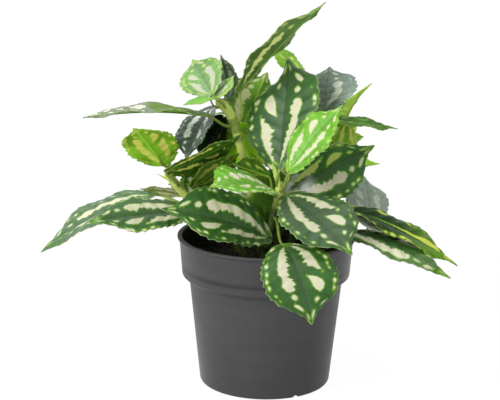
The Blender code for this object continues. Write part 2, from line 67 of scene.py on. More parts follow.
# name, stem, share of the stem where it grows, blade base x, y, z in millimetres,
# heading, rise, roll in degrees, length, width in millimetres, droop, fold in degrees
LEAVES = [
    ("leaf_left_1", "stem_left", 0.72, -65, 10, 104.6, -171, -27, -7, 71, 36, 30, 8),
    ("leaf_left_2", "stem_left", 0.68, -43.5, -6, 99.6, -160, -2, -19, 57, 34, 8, 5),
    ("leaf_left_3", "stem_left", 0.76, -47.7, 18.1, 102.7, 179, 7, 27, 25, 26, 14, -2),
    ("leaf_left_4", "stem_left", 0.97, -58.6, -2.5, 125.8, -114, 38, 21, 42, 31, 27, 7),
    ("leaf_left_5", "stem_left", 0.98, -54, 4, 122, 95, 48, -67, 22, 14, 20, 20),
    ("leaf_left_6", "stem_left", 0.89, -54.9, -8.5, 123.4, 10, 25, -37, 45, 32, -17, -8),
    ("leaf_left_7", "stem_left_inner", 0.96, -41.6, 4.3, 111.2, 2, 36, -36, 32, 34, -5, -1),
    ("leaf_tall_1", "stem_tall", 0.83, -34.6, 2.2, 152.6, -168, 0, 4, 68, 34, 19, 11),
    ("leaf_tall_2", "stem_tall", 0.97, -31.1, 4, 164, 118, 32, -40, 29, 29, -17, 18),
    ("leaf_tall_3", "stem_tall", 0.97, -31.4, 5.5, 161.6, 25, 40, 10, 18, 13, -10, -5),
    ("leaf_tall_4", "stem_tall", 0.92, -21.8, 19.9, 158.5, 130, 72, 12, 25, 16, 6, 20),
    ("leaf_tall_5", "stem_tall", 0.9, -31.5, 26, 151.7, -123, -46, 20, 37, 32, 29, 13),
    ("leaf_tall_6", "stem_tall", 0.75, -25, 19.5, 147.1, 162, -62, -70, 30, 24, 20, 10),
    ("leaf_tall_7", "stem_tall", 0.86, -15, 27, 139, 19, 64, -84, 36, 38, 10, 10),
    ("leaf_tall_8", "stem_tall", 0.84, -14.9, 7.6, 166.3, -25, 46, -6, 71, 34, 10, 14),
    ("leaf_tall_9", "stem_tall", 0.8, -24.5, 19.5, 142, 3, -42, -83, 31, 25, 6, 6),
    ("leaf_tall_10", "stem_tall", 0.22, 4, 5, 84, 92, 87, 0, 42, 26, 4, 5),
    ("leaf_tall_11", "stem_tall", 0.42, -20, 28, 106, 138, -14, 0, 52, 38, 40, 10),
    ("leaf_tall_12", "stem_tall", 0.55, -18, 40, 132, 120, 5, 0, 46, 34, 40, 10),
    ("leaf_tall_13", "stem_tall", 0.95, -30.3, -2.4, 162.7, -166, -11, -4, 17, 13, 10, 4),
    ("leaf_centre_1", "stem_centre", 0.97, 6.4, -9.4, 125.8, 82, 60, -26, 64, 48, -9, 7),
    ("leaf_centre_2", "stem_centre", 0.92, 12.5, -19.4, 126.9, 11, 51, 26, 45, 30, 15, 10),
    ("leaf_centre_3", "stem_centre", 0.76, 11.7, 3.2, 109, -1, 30, 100, 55, 38, 7, 25),
    ("leaf_centre_4", "stem_centre", 0.84, 11.3, -13.4, 110.2, -47, -24, 12, 55, 45, 23, 5),
    ("leaf_centre_5", "stem_centre", 0.66, 9, -39, 89, -62, -48, 10, 50, 44, 75, 5),
    ("leaf_centre_6", "stem_centre", 0.86, 2, -13.1, 113.9, -142, 10, -13, 43, 38, 35, 9),
    ("leaf_centre_7", "stem_centre", 0.36, 0.3, -11.8, 86.8, -165, 18, -38, 63, 41, 24, 17),
    ("leaf_centre_8", "stem_centre", 0.9, 0.4, -5.1, 119.9, -189, 16, 46, 21, 23, 5, 9),
    ("leaf_right_1", "stem_right", 0.9, 31.8, 18.9, 153.1, 74, 63, -26, 25, 47, 11, 4),
    ("leaf_right_2", "stem_right", 0.97, 44.1, 25.1, 145.4, 50, 36, -35, 31, 21, 30, 13),
    ("leaf_right_3", "stem_right", 0.98, 28.8, 5.8, 149.5, 16, -9, 6, 47, 22, 11, 7),
    ("leaf_right_4", "stem_right", 0.88, 43.5, 13.5, 147.2, -89, -79, -48, 28, 25, 5, -1),
    ("leaf_right_5", "stem_right", 0.96, 46.4, 27.5, 133.5, 0, 14, 11, 9, 13, 4, 8),
    ("leaf_right_6", "stem_right", 0.60, 42, 27, 116, 20, 5, 6, 25, 20, 10, 20),
    ("leaf_right_7", "stem_right", 0.80, 34, 34, 128, 84, 5, 0, 42, 34, 40, 10),
    ("leaf_low_1", "stem_right_low", 0.86, 59.4, 24.8, 84.2, 103, 62, 35, 30, 41, 27, -1),
    ("leaf_low_2", "stem_right_low", 0.94, 47.7, 3.9, 99.2, -6, -27, 7, 68, 31, 14, 9),
    ("leaf_low_3", "stem_right_low", 0.85, 42.9, -4.2, 88.6, -18, -19, 3, 66, 34, 33, 1),
    ("leaf_low_4", "stem_right_low", 0.98, 49.3, 4.7, 95.5, -15, -20.5, 3, 28, 24, 7, 5),
    ("leaf_back_1", "stem_back", 0.97, 19, 41.6, 166, 140, 43, 13, 28, 29, 11, 1),
    ("leaf_back_2", "stem_back", 0.86, 21, 36, 138, 60, 10, 0, 48, 36, 40, 10),
    ("leaf_back_3", "stem_back", 0.93, 2, 46, 139, 110, 0, 0, 48, 36, 40, 10),
    ("leaf_back_4", "stem_back", 0.66, 12, 36, 112, 100, -8, 0, 56, 40, 40, 10),
    ("leaf_back_5", "stem_back", 0.64, 23, 35, 114, 70, 0, 0, 52, 38, 40, 10),
    ("leaf_back_6", "stem_back", 0.45, -4, 30, 96, 112, -15, 0, 54, 40, 40, 10),
    ("leaf_back_7", "stem_back", 0.36, 20, 27, 92, 65, -20, 0, 50, 38, 40, 10),
    ("leaf_back_8", "stem_left_inner", 0.60, -39, 22, 98.5, 98, 85, 0, 21, 23, 4, 6),
]

# Leaves whose outline differs: fullness of the base, and how far the two sides are out of step.
PLAIN_SHAPE = (0.70, 0.0)
SHAPES = {"leaf_centre_1": (0.92, 0.09), "leaf_left_4": (0.50, 0.0)}

# Bracts at the stems' tops: base x, y, z, heading, rise, length, width, in millimetres and degrees.
BRACTS = [
    (6.8, -10.2, 114.5, 190, 73, 15, 3.4),
    (9.5, -8.5, 116.0, 20, 66, 8, 2.2),
    (-53.5, -3.6, 115.4, 185, 32, 9, 0.9),
    (-29.0, 5.0, 158.5, 60, 70, 7, 1.6),
]

# ---- finishes ----------------------------------------------------------------------------------
# The finish of each leaf; the rest are mature green ones.
FINISHES = {
    "misty": ["leaf_left_1"],
    "young": ["leaf_centre_2", "leaf_centre_6", "leaf_tall_13"],
    "pale": ["leaf_tall_2", "leaf_tall_3"],
    "lime": ["leaf_left_4", "leaf_back_1"],
    "cream": ["leaf_tall_7"],
    "glow": ["leaf_tall_9", "leaf_right_2", "leaf_right_5", "leaf_right_6", "leaf_right_7"],
    "olive": ["leaf_left_3"],
    "folded": ["leaf_right_4"],
    "silver": ["leaf_tall_5"],
    "slate": ["leaf_right_1"],
    "ash": ["leaf_low_1"],
    "night": ["leaf_tall_6"],
    "dusk": ["leaf_left_6"],
    "moss": ["leaf_centre_8", "leaf_tall_10", "leaf_right_3", "leaf_left_7"],
    "gold": ["leaf_tall_8"],
    "grey": ["leaf_tall_4"],
    "frost": ["leaf_tall_1"],
    "haze": ["leaf_low_4"],
    "deep": ["leaf_low_2"],
}

# The colours of each finish: of the blade; of the painted sheen that turns the upper side grey near the
# midrib, towards the base and on the leaves listed below, which on some finishes is darker and so
# painted shade; of the patches' edge, of the patches, of the underside and of its patches. The
# underside's colours are yellower and brighter than the blade's: painted light let through the leaf.
# The last value is the roughness.
PALETTES = {
    "mature": ((0.036, 0.128, 0.017), (0.066, 0.118, 0.056), (0.20, 0.43, 0.03),
               (0.75, 0.73, 0.52), (0.11, 0.21, 0.028), (0.50, 0.52, 0.14), 0.40),
    "misty": ((0.050, 0.150, 0.030), (0.115, 0.200, 0.105), (0.22, 0.45, 0.05),
              (0.78, 0.76, 0.56), (0.14, 0.25, 0.05), (0.50, 0.52, 0.14), 0.40),
    "young": ((0.160, 0.450, 0.030), (0.220, 0.480, 0.090), (0.33, 0.62, 0.06),
              (0.78, 0.77, 0.56), (0.20, 0.42, 0.030), (0.55, 0.58, 0.13), 0.40),
    "pale": ((0.17, 0.37, 0.10), (0.26, 0.39, 0.20), (0.40, 0.60, 0.13),
             (0.58, 0.60, 0.48), (0.24, 0.46, 0.10), (0.55, 0.60, 0.30), 0.40),
    "lime": ((0.22, 0.50, 0.026), (0.24, 0.50, 0.05), (0.42, 0.70, 0.06),
             (0.80, 0.84, 0.20), (0.24, 0.54, 0.025), (0.78, 0.80, 0.15), 0.42),
    # glow: brighter than the leaves' own lime, so that they show bright in the shade of the leaves
    # above: painted light
    "glow": ((0.42, 0.86, 0.04), (0.52, 0.80, 0.08), (0.60, 0.85, 0.08),
             (0.80, 0.84, 0.18), (0.42, 0.88, 0.04), (0.80, 0.84, 0.18), 0.46),
    "olive": ((0.28, 0.36, 0.07), (0.32, 0.40, 0.10), (0.36, 0.46, 0.10),
              (0.56, 0.58, 0.20), (0.30, 0.38, 0.08), (0.58, 0.60, 0.20), 0.46),
    # silver: its grey near the midrib and on the upper side stands for the sheen of a glossy leaf:
    # painted reflection
    "silver": ((0.050, 0.090, 0.062), (0.090, 0.130, 0.110), (0.13, 0.20, 0.11),
               (0.82, 0.84, 0.78), (0.07, 0.12, 0.05), (0.43, 0.46, 0.24), 0.32),
    # slate: the grey-green blade stands for the white sheen of a leaf seen at a grazing angle: painted
    # reflection
    "slate": ((0.225, 0.305, 0.245), (0.300, 0.360, 0.310), (0.33, 0.43, 0.32),
              (0.72, 0.74, 0.62), (0.07, 0.12, 0.05), (0.33, 0.36, 0.18), 0.32),
    # ash: the pale grey blade stands for the white sheen of a leaf seen at a grazing angle: painted
    # reflection
    "ash": ((0.235, 0.315, 0.240), (0.33, 0.40, 0.33), (0.33, 0.42, 0.30),
            (0.58, 0.61, 0.50), (0.10, 0.16, 0.10), (0.33, 0.36, 0.22), 0.34),
    # cream: the underside's patches are near white so that they show pale in the shade: painted light
    "cream": ((0.120, 0.300, 0.030), (0.20, 0.36, 0.08), (0.38, 0.58, 0.10),
              (0.92, 0.92, 0.56), (0.18, 0.42, 0.035), (0.98, 0.98, 0.56), 0.42),
    # folded: colours raised so that the leaf shows bright in the shade of the leaves above, painted
    # light; its darker colour near the midrib is painted shade in the fold
    "folded": ((0.36, 0.74, 0.04), (0.14, 0.30, 0.02), (0.50, 0.78, 0.06),
               (0.84, 0.88, 0.24), (0.36, 0.74, 0.04), (0.84, 0.88, 0.24), 0.46),
    # frost: the pale grey-green blade stands for the sheen on the leaf's outer half: painted sheen
    "frost": ((0.26, 0.31, 0.23), (0.14, 0.26, 0.06), (0.13, 0.25, 0.008),
              (0.78, 0.79, 0.68), (0.20, 0.38, 0.05), (0.70, 0.72, 0.24), 0.42),
    # haze: near-white colours; the grey stands for a sheen, painted reflection, raised so that it shows
    # pale in the shade under leaf_low_2, painted light
    "haze": ((0.66, 0.76, 0.62), (0.72, 0.80, 0.68), (0.60, 0.66, 0.50),
             (0.92, 0.92, 0.80), (0.80, 0.90, 0.68), (0.94, 0.96, 0.80), 0.34),
    "deep": ((0.012, 0.045, 0.005), (0.020, 0.060, 0.008), (0.20, 0.42, 0.03),
             (0.68, 0.74, 0.12), (0.030, 0.085, 0.008), (0.50, 0.56, 0.08), 0.42),
    # night: a near-black leaf that stands for a leaf deep in shade: painted shade
    "night": ((0.008, 0.018, 0.006), (0.010, 0.020, 0.008), (0.03, 0.06, 0.008),
              (0.12, 0.18, 0.02), (0.010, 0.020, 0.006), (0.10, 0.15, 0.02), 0.5),
    # dusk: the underside's patches are near white, as light let through the leaf: painted light
    "dusk": ((0.040, 0.120, 0.014), (0.022, 0.055, 0.010), (0.12, 0.25, 0.02),
             (0.50, 0.56, 0.12), (0.060, 0.170, 0.016), (0.95, 0.98, 0.20), 0.44),
    "moss": ((0.070, 0.190, 0.016), (0.045, 0.120, 0.012), (0.20, 0.40, 0.02),
             (0.48, 0.60, 0.10), (0.100, 0.220, 0.024), (0.48, 0.60, 0.10), 0.46),
    # gold: colours raised to make up for the shade that the leaf lies in: painted light
    "gold": ((0.155, 0.300, 0.100), (0.040, 0.100, 0.015), (0.28, 0.44, 0.08),
             (0.68, 0.72, 0.20), (0.110, 0.230, 0.050), (0.90, 0.94, 0.34), 0.42),
    "grey": ((0.050, 0.085, 0.050), (0.080, 0.12, 0.085), (0.13, 0.22, 0.10),
             (0.38, 0.42, 0.32), (0.04, 0.075, 0.03), (0.25, 0.30, 0.14), 0.40),
}

# Finishes with little gloss, and the share of the gloss that they keep.
DULL = ["deep", "dusk", "moss", "glow", "night", "frost", "folded", "lime"]
DULL_SHARE = 0.3

# Painted sheen: how far the upper side is turned grey, from 0 to 1.
PLAIN_GREY_SHEEN = 0.1
GREY_SHEEN = {"leaf_centre_1": 0.45, "leaf_centre_4": 0.75, "leaf_left_1": 0.90, "leaf_left_2": 0.35,
          "leaf_tall_1": 0.0, "leaf_centre_3": 0.0, "leaf_centre_7": 0.15, "leaf_low_1": 0.8,
          "leaf_right_1": 0.3, "leaf_tall_5": 0.4, "leaf_low_4": 0.6}

# Leaves lit from behind on their left half: the patches there are a dull lime.
BACKLIT = ["leaf_centre_3"]
BACKLIT_PATCH = (0.50, 0.62, 0.14)

# Leaves with a painted pale sheen at the base: a reflection painted into the colour.
SHINY = ["leaf_centre_3"]
SHEEN = (0.90, 0.92, 0.88)

# Leaves whose blade turns lime to the tip.
FRESH_TIPS = {"leaf_low_2": 0.75, "leaf_tall_8": 0.35, "leaf_low_3": 0.2}

# How much darker a stem is where petioles grow, from 0 to 1.
PLAIN_NODE_SHADE = 0.2
NODE_SHADES = {"stem_tall": 1.0}

# ---- the print ---------------------------------------------------------------------------------
# Patches on one half: rows of (share of the length, inner edge, outer edge), the edges as shares
# of the half width from the midrib. The left half has a long patch and a separate drop; on the
# right half the long patch runs into a round end.
LEFT_PATCHES = [
    [(0.02, .27, .32), (0.06, .39, .52), (0.13, .36, .55), (0.20, .32, .56), (0.27, .30, .56),
     (0.33, .25, .55), (0.37, .30, .55), (0.42, .45, .57), (0.485, .58, .61)],
    [(0.47, .17, .20), (0.51, .21, .40), (0.56, .25, .53), (0.61, .28, .58), (0.645, .34, .55),
     (0.67, .42, .48)],
    [(0.72, .32, .35), (0.735, .27, .44), (0.76, .29, .42), (0.772, .34, .37)],
    [(0.77, .72, .75), (0.79, .64, .76), (0.81, .60, .70)],
    [(0.86, .30, .44), (0.89, .22, .48), (0.93, .20, .44), (0.95, .26, .36)],
]
RIGHT_PATCHES = [
    [(0.01, .06, .09), (0.04, .09, .27), (0.10, .16, .39), (0.17, .19, .44), (0.24, .21, .48),
     (0.30, .20, .50), (0.36, .27, .53), (0.41, .28, .53), (0.45, .29, .48), (0.48, .25, .47),
     (0.52, .19, .52), (0.56, .20, .54), (0.60, .26, .49), (0.62, .34, .41)],
    [(0.66, .32, .36), (0.675, .26, .44), (0.70, .26, .44), (0.72, .31, .38)],
    [(0.76, .46, .50), (0.78, .38, .58), (0.82, .34, .56), (0.85, .40, .50)],
    [(0.88, .22, .34), (0.92, .20, .42), (0.94, .26, .36)],
]
# A leaf whose print runs along the midrib: a narrow band that widens to the tip.
BAND_PATCHES = [
    [(0.16, .02, .03), (0.24, .03, .08), (0.40, .04, .13), (0.55, .04, .17), (0.64, .05, .30),
     (0.72, .06, .42), (0.79, .10, .40), (0.82, .18, .26)],
    [(0.20, .62, .64), (0.23, .56, .78), (0.29, .58, .76), (0.31, .64, .68)],
    [(0.46, .70, .72), (0.49, .64, .82), (0.52, .70, .74)],
    [(0.84, .22, .34), (0.87, .14, .60), (0.93, .14, .62), (0.96, .26, .44)],
]
BANDED = ["leaf_low_2"]

# How deep the saw-tooth on the inner edge of each half's long patch is, of the half width.
LEFT_JAG = 0.10
RIGHT_JAG = 0.09

# Dots along each margin, and a depth that lies far outside every patch, in millimetres.
MARGIN_DOTS = 9
FAR_OUTSIDE = -50.0

# How much narrower the patches are than on the rest, in millimetres.
THINNER = {"leaf_low_2": 0.1, "leaf_right_3": 1.2, "leaf_centre_8": 0.6, "leaf_tall_10": 1.6,
           "leaf_left_6": 0.6, "leaf_right_2": 1.0, "leaf_left_1": 0.2, "leaf_tall_8": 0.65,
           "leaf_back_1": 0.9, "leaf_tall_6": 0.8, "leaf_tall_9": 1.2, "leaf_tall_13": 1.4,
           "leaf_right_6": 0.8, "leaf_tall_1": -0.5}

# How far out the patches reach, as a share of the usual way.
SPREAD = {"leaf_low_3": 1.55, "leaf_left_2": 1.1, "leaf_left_1": 0.75}

# Leaves with no patches on the half near the base, which is lime; the share of lime in it.
PLAIN_BASES = ["leaf_tall_1"]
PLAIN_BASE_LIME = 0.85


# ---- small helpers -----------------------------------------------------------------------------
def smooth_step(value, low, high):
    """0 below low, 1 above high, and t*t*(3-2t) between."""
    t = np.clip((value - low) / (high - low), 0, 1)
    return t * t * (3 - 2 * t)


def grid_quads(rows, columns, start=0, wrap=False, flip=False):
    """The faces of a grid of points numbered row by row; wrap joins the last column to the first."""
    i = np.arange(rows - 1)[:, None]
    j = np.arange(columns if wrap else columns - 1)[None, :]
    k = (j + 1) % columns
    quads = np.stack([i * columns + j, i * columns + k, (i + 1) * columns + k, (i + 1) * columns + j],
                     axis=-1).reshape(-1, 4) + start
    return quads[:, ::-1] if flip else quads


def boundary(rows, columns):
    """The numbers of a grid's outer points, once round."""
    return np.concatenate([np.arange(columns - 1), (np.arange(rows - 1) * columns) + columns - 1,
                           (rows - 1) * columns + np.arange(columns - 1, 0, -1),
                           np.arange(rows - 1, 0, -1) * columns])


def make_mesh(name, points, quads, polygons=(), values=None):
    """A mesh from arrays: points, four-cornered faces, other faces, and values at the points."""
    corners = [np.asarray(quads).reshape(-1)] + [np.asarray(p) for p in polygons]
    sizes = np.concatenate([np.full(len(quads), 4), [len(p) for p in polygons]]).astype(int)
    corners = np.concatenate(corners).astype(np.int32)
    mesh = bpy.data.meshes.new(name)
    mesh.vertices.add(len(points))
    mesh.vertices.foreach_set("co", np.asarray(points, np.float32).reshape(-1))
    mesh.loops.add(len(corners))
    mesh.loops.foreach_set("vertex_index", corners)
    mesh.polygons.add(len(sizes))
    starts = np.concatenate([[0], np.cumsum(sizes)[:-1]])
    mesh.polygons.foreach_set("loop_start", starts.astype(np.int32))
    mesh.polygons.foreach_set("use_smooth", np.ones(len(sizes), bool))
    mesh.update(calc_edges=True)
    for label, data in (values or {}).items():
        layer = mesh.attributes.new(label, "FLOAT", "POINT")
        layer.data.foreach_set("value", np.asarray(data, np.float32).reshape(-1))
    if mesh.validate():
        raise RuntimeError("%s has faults in its mesh" % name)
    return mesh


def add_object(name, data):
    """A new object in the scene, at the origin."""
    item = bpy.data.objects.new(name, data)
    bpy.context.scene.collection.objects.link(item)
    return item


def add_piece(name, mesh, node, finish):
    """Makes a mesh a piece, which stands for a node of the frame if one is named."""
    piece = add_object(name, mesh)
    mesh.materials.append(finish)
    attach(piece, "root")
    if node:
        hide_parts(node)


def along(route, shares):
    """Points and directions at shares of a route's length."""
    steps = np.linalg.norm(np.diff(route, axis=0), axis=1)
    length = np.concatenate([[0.0], np.cumsum(steps)])
    target = np.asarray(shares, float) * length[-1]
    points = np.stack([np.interp(target, length, route[:, k]) for k in range(3)], axis=-1)
    headings = np.gradient(route, axis=0)
    found = np.stack([np.interp(target, length, headings[:, k]) for k in range(3)], axis=-1)
    return points, found / np.linalg.norm(found, axis=-1, keepdims=True)


def smooth_route(points, steps):
    """Catmull-Rom curve through the points, in metres, with a number of steps a span."""
    route = np.array(points, float) * MM
    padded = np.vstack([2 * route[0] - route[1], route, 2 * route[-1] - route[-2]])
    t = (np.arange(steps) / steps)[None, :, None]
    a, b, c, d = (padded[k:k + len(route) - 1, None, :] for k in range(4))
    rows = 0.5 * (2 * b + (c - a) * t + (2 * a - 5 * b + 4 * c - d) * t ** 2
                  + (3 * b - a - 3 * c + d) * t ** 3)
    return np.vstack([rows.reshape(-1, 3), route[-1]])


def frames_along(path, first_side):
    """Two directions square to a path: a fixed one made square to each tangent, and their product."""
    tangents = np.gradient(path, axis=0)
    tangents /= np.linalg.norm(tangents, axis=1, keepdims=True)
    sides = first_side - (tangents @ first_side)[:, None] * tangents
    sides /= np.linalg.norm(sides, axis=1, keepdims=True)
    return sides, np.cross(tangents, sides)


def tube(path, radii, sides, first_side, ridges=0.0, ridge_count=7):
    """Points and faces of a round rod: path + r*(cos a*side + sin a*up), closed by flat ends.

    The skin is lifted by a share ridges*cos(ridge_count*a) of the radius.
    """
    across, up = frames_along(path, np.asarray(first_side, float))
    angle = np.arange(sides) * math.tau / sides
    radius = np.asarray(radii)[:, None] * (1 + ridges * np.cos(ridge_count * angle))[None, :]
    points = (path[:, None, :] + (radius * np.cos(angle))[..., None] * across[:, None, :]
              + (radius * np.sin(angle))[..., None] * up[:, None, :])
    ring = np.arange(sides)
    ends = [ring[::-1], (len(path) - 1) * sides + ring]
    return points.reshape(-1, 3), grid_quads(len(path), sides, wrap=True), ends


def fan(pole, ring, flip=False):
    """Triangles from a pole to each step of a ring."""
    after = np.roll(ring, -1)
    pair = (after, ring) if flip else (ring, after)
    return np.stack([np.full(len(ring), pole), *pair], axis=-1)


def closed_sheet(upper, lower, start=0):
    """Points and faces of a sheet from its two skins, which are grids, and the rim between them."""
    rows, columns = upper.shape[:2]
    count = rows * columns
    ring = boundary(rows, columns) + start
    after = np.roll(ring, -1)
    rim = np.stack([ring, after, after + count, ring + count], axis=-1)[:, ::-1]
    skins = [grid_quads(rows, columns, start), grid_quads(rows, columns, start + count, flip=True)]
    return np.vstack([upper.reshape(-1, 3), lower.reshape(-1, 3)]), np.vstack([*skins, rim])


def face_outwards(mesh):
    """Merges the doubles of a closed mesh and turns every face outwards."""
    shape = bmesh.new()
    shape.from_mesh(mesh)
    bmesh.ops.remove_doubles(shape, verts=shape.verts, dist=1e-6)
    bmesh.ops.recalc_face_normals(shape, faces=shape.faces)
    shape.to_mesh(mesh)
    shape.free()


# ---- materials ---------------------------------------------------------------------------------
class Nodes:
    """Shorthand for laying out a material's nodes."""

    def __init__(self, name):
        self.material = bpy.data.materials.new(name)
        self.material.use_nodes = True
        self.tree = self.material.node_tree
        self.shader = self.tree.nodes["Principled BSDF"]

    def add(self, kind, **settings):
        """A new node with the settings given."""
        node = self.tree.nodes.new(kind)
        for key, value in settings.items():
            setattr(node, key, value)
        return node

    def link(self, source, target):
        """Joins an output to an input."""
        self.tree.links.new(source, target)

    def feed(self, socket, value):
        """Links a socket to an input, or sets the input's own value."""
        if isinstance(value, bpy.types.NodeSocket):
            self.link(value, socket)
        else:
            socket.default_value = value

    def put(self, node, values):
        """Feeds a node's inputs by name."""
        for key, value in values.items():
            self.feed(node.inputs[key], value)

    def value(self, label):
        """The value that the mesh holds at each point under a label."""
        return self.add("ShaderNodeAttribute", attribute_name=label).outputs["Fac"]

    def place(self):
        """Object coordinates."""
        return self.add("ShaderNodeTexCoord").outputs["Object"]

    def noise(self, scale, detail=2.0, roughness=0.5, stretch=None):
        """Cloudy noise from 0 to 1; a stretch scales the coordinates first."""
        node = self.add("ShaderNodeTexNoise")
        vector = self.place()
        if stretch:
            mapping = self.add("ShaderNodeMapping")
            self.put(mapping, {"Scale": stretch, "Vector": vector})
            vector = mapping.outputs["Vector"]
        self.put(node, {"Vector": vector, "Scale": scale, "Detail": detail, "Roughness": roughness})
        return node.outputs["Fac"]

    def math(self, operation, a, b):
        """A sum, product or the like of two numbers."""
        node = self.add("ShaderNodeMath", operation=operation)
        self.feed(node.inputs[0], a)
        self.feed(node.inputs[1], b)
        return node.outputs[0]

    def ramp(self, value, low, high, start=0.0, end=1.0):
        """A smooth step from start to end as the value goes from low to high."""
        node = self.add("ShaderNodeMapRange", interpolation_type="SMOOTHSTEP")
        self.put(node, {"Value": value, "From Min": low, "From Max": high, "To Min": start,
                        "To Max": end})
        return node.outputs["Result"]

    def mix(self, factor, a, b):
        """Colour a where the factor is 0 and colour b where it is 1."""
        node = self.add("ShaderNodeMix", data_type="RGBA")
        self.put(node, {"Factor": factor, "A": a, "B": b})
        return node.outputs["Result"]

    def tones(self, value, low, high, colour, first, last):
        """A colour made darker or brighter, from one gain to another as the value goes up."""
        return self.mix(self.ramp(value, low, high), rgba(colour, first), rgba(colour, last))

    def coat(self, under, over, value, low, high, start=0.0, end=1.0):
        """One colour over another, with a smooth step of the value as its share."""
        return self.mix(self.ramp(value, low, high, start, end), under, over)

    def bump(self, height, distance, strength=1.0, normal=None):
        """Normals of a surface raised by a height, on top of a normal if one is given."""
        node = self.add("ShaderNodeBump")
        self.put(node, {"Distance": distance, "Strength": strength, "Height": height})
        if normal:
            self.link(normal, node.inputs["Normal"])
        return node.outputs["Normal"]

    def finish(self, colour, roughness, normal, specular):
        """Feeds the Principled shader and gives the finished material."""
        self.put(self.shader, {"Base Color": colour, "Roughness": roughness,
                               "Specular IOR Level": specular, "Normal": normal})
        return self.material


def rgba(colour, gain=1.0):
    """A colour for a socket, made brighter or darker by a gain."""
    return (*(min(1.0, gain * c) for c in tuple(colour)[:3]), 1.0)


def leaf_finish(kind, looks):
    """Printed leaf: pale patches with a lime edge on green, a pale cut rim, a painted grey sheen on
    top, and a yellower underside, brighter as painted light let through the leaf.
    """
    green, sheen_and_shade_green, halo, patch_colour, under, under_patch, roughness = PALETTES[kind]
    n = Nodes(kind + "_leaf")
    patch = n.value("patch")
    rim = n.value("rim")
    midrib = n.value("midrib")
    fine = n.noise(1500.0, 3.0, 0.6)
    broad = n.noise(70.0, 2.0)
    wobble = n.math("MULTIPLY", n.math("SUBTRACT", n.noise(750.0, 3.0, 0.6), 0.5), 1.1)
    edge = n.math("ADD", patch, wobble)
    blade = n.tones(broad, 0.40, 0.62, green, 0.82, 1.25)
    # painted sheen: grey near the midrib, towards the base and on the leaves listed; darker on some
    # finishes, as painted shade
    sheen_and_shade = n.math("MAXIMUM", n.value("grey"), n.ramp(midrib, 3.5, 0.3, 0.0, 0.5))
    blade = n.mix(sheen_and_shade, blade, rgba(sheen_and_shade_green))
    blade = n.coat(blade, rgba(green, 1.9), fine, 0.35, 0.72, 0.0, 0.20)
    blade = n.mix(n.value("fresh"), blade, rgba(halo))
    vein = n.ramp(n.value("vein"), 0.30, 0.0, 0.0, 0.32)
    blade = n.mix(vein, blade, rgba(green, 0.5))
    rim_glow = n.math("MULTIPLY", n.ramp(rim, 1.7, 0.1), n.ramp(broad, 0.42, 0.62, 0.10, 0.85))
    upper = n.mix(rim_glow, blade, rgba(halo))
    upper = n.coat(upper, rgba(halo), edge, -0.95, -0.05, 0.0, 0.9)
    pale = n.tones(fine, 0.35, 0.7, patch_colour, 1.0, 1.12)
    pale = n.mix(n.value("backlit"), pale, rgba(BACKLIT_PATCH))
    upper = n.coat(upper, pale, edge, -0.05, 0.40)
    upper = n.coat(upper, rgba(sheen_and_shade_green, 0.5), midrib, 0.28, 0.10, 0.0, 0.45)
    cut_edge = tuple(0.45 * a + 0.55 * b for a, b in zip(halo, patch_colour))
    upper = n.coat(upper, rgba(cut_edge), rim, 0.26, 0.06, 0.0, 0.6)
    # painted sheen: a pale reflection near the base of the leaves listed
    shine = n.math("MULTIPLY", n.value("shine"), n.ramp(broad, 0.42, 0.58, 0.0, 0.9))
    upper = n.mix(shine, upper, rgba(SHEEN))
    # painted light: the underside is yellower and brighter, as light let through the leaf
    lower = n.tones(broad, 0.40, 0.60, under, 0.72, 1.2)
    lower = n.mix(n.value("fresh"), lower, rgba(under, 1.9))
    lower = n.coat(lower, rgba(under, 1.5), rim, 2.2, 0.3, 0.0, 0.35)
    lower = n.coat(lower, rgba(under_patch), edge, -0.9, 0.5)
    lower = n.coat(lower, rgba(halo, 1.2), midrib, 0.8, 0.3, 0.0, 0.7)
    lower = n.coat(lower, rgba(cut_edge, 0.8), rim, 0.26, 0.06, 0.0, 0.5)
    blade = n.coat(lower, upper, n.value("top"), 0.3, 0.7)
    streaks = n.noise(260.0, 2.0)
    petiole = n.tones(streaks, 0.3, 0.7, looks.stalk, 1.0, 0.66)
    colour = n.coat(blade, petiole, n.value("stalk"), 0.4, 0.6)
    height = n.math("ADD", n.math("MULTIPLY", fine, 0.5), n.ramp(n.value("vein"), 0.0, 0.5))
    normal = n.bump(height, 0.00012, 0.6)
    rough = n.ramp(fine, 0.3, 0.7, roughness - 0.05, roughness + 0.08)
    return n.finish(colour, rough, normal, looks.gloss * (DULL_SHARE if kind in DULL else 1.0))


def stem_finish(looks):
    """Moulded stem: pale yellow green above, brighter than the stem's own as painted light against the
    leaves' shade, olive and darker near the soil, fine streaks.
    """
    n = Nodes("moulded_stem")
    height = n.value("height")
    streaks = n.noise(300.0, 3.0, 0.6, stretch=(1.0, 1.0, 0.18))
    pale = n.tones(streaks, 0.3, 0.7, looks.stem_pale, 1.0, 0.82)
    low = n.tones(streaks, 0.3, 0.7, looks.stem_dark, 1.0, 0.55)
    colour = n.coat(low, pale, height, 0.68, 0.86)
    colour = n.coat(colour, rgba(looks.stem_dark, 1.8), n.value("node"), 0.05, 1.0, 0.0, 0.75)
    normal = n.bump(streaks, 0.0003, 0.6)
    return n.finish(colour, n.ramp(streaks, 0.3, 0.7, 0.42, 0.56), normal, 0.25)


# Where the pot's finish changes, in metres: the foot's scuffs fade out upwards, and painted shade makes
# the inside darker within a distance from the axis and above a height.
SCUFF_HEIGHTS = (0.022, 0.002)
SHADE_INSIDE_REACH = (0.0478, 0.0474)
SHADE_INSIDE_HEIGHTS = (0.0655, 0.068)


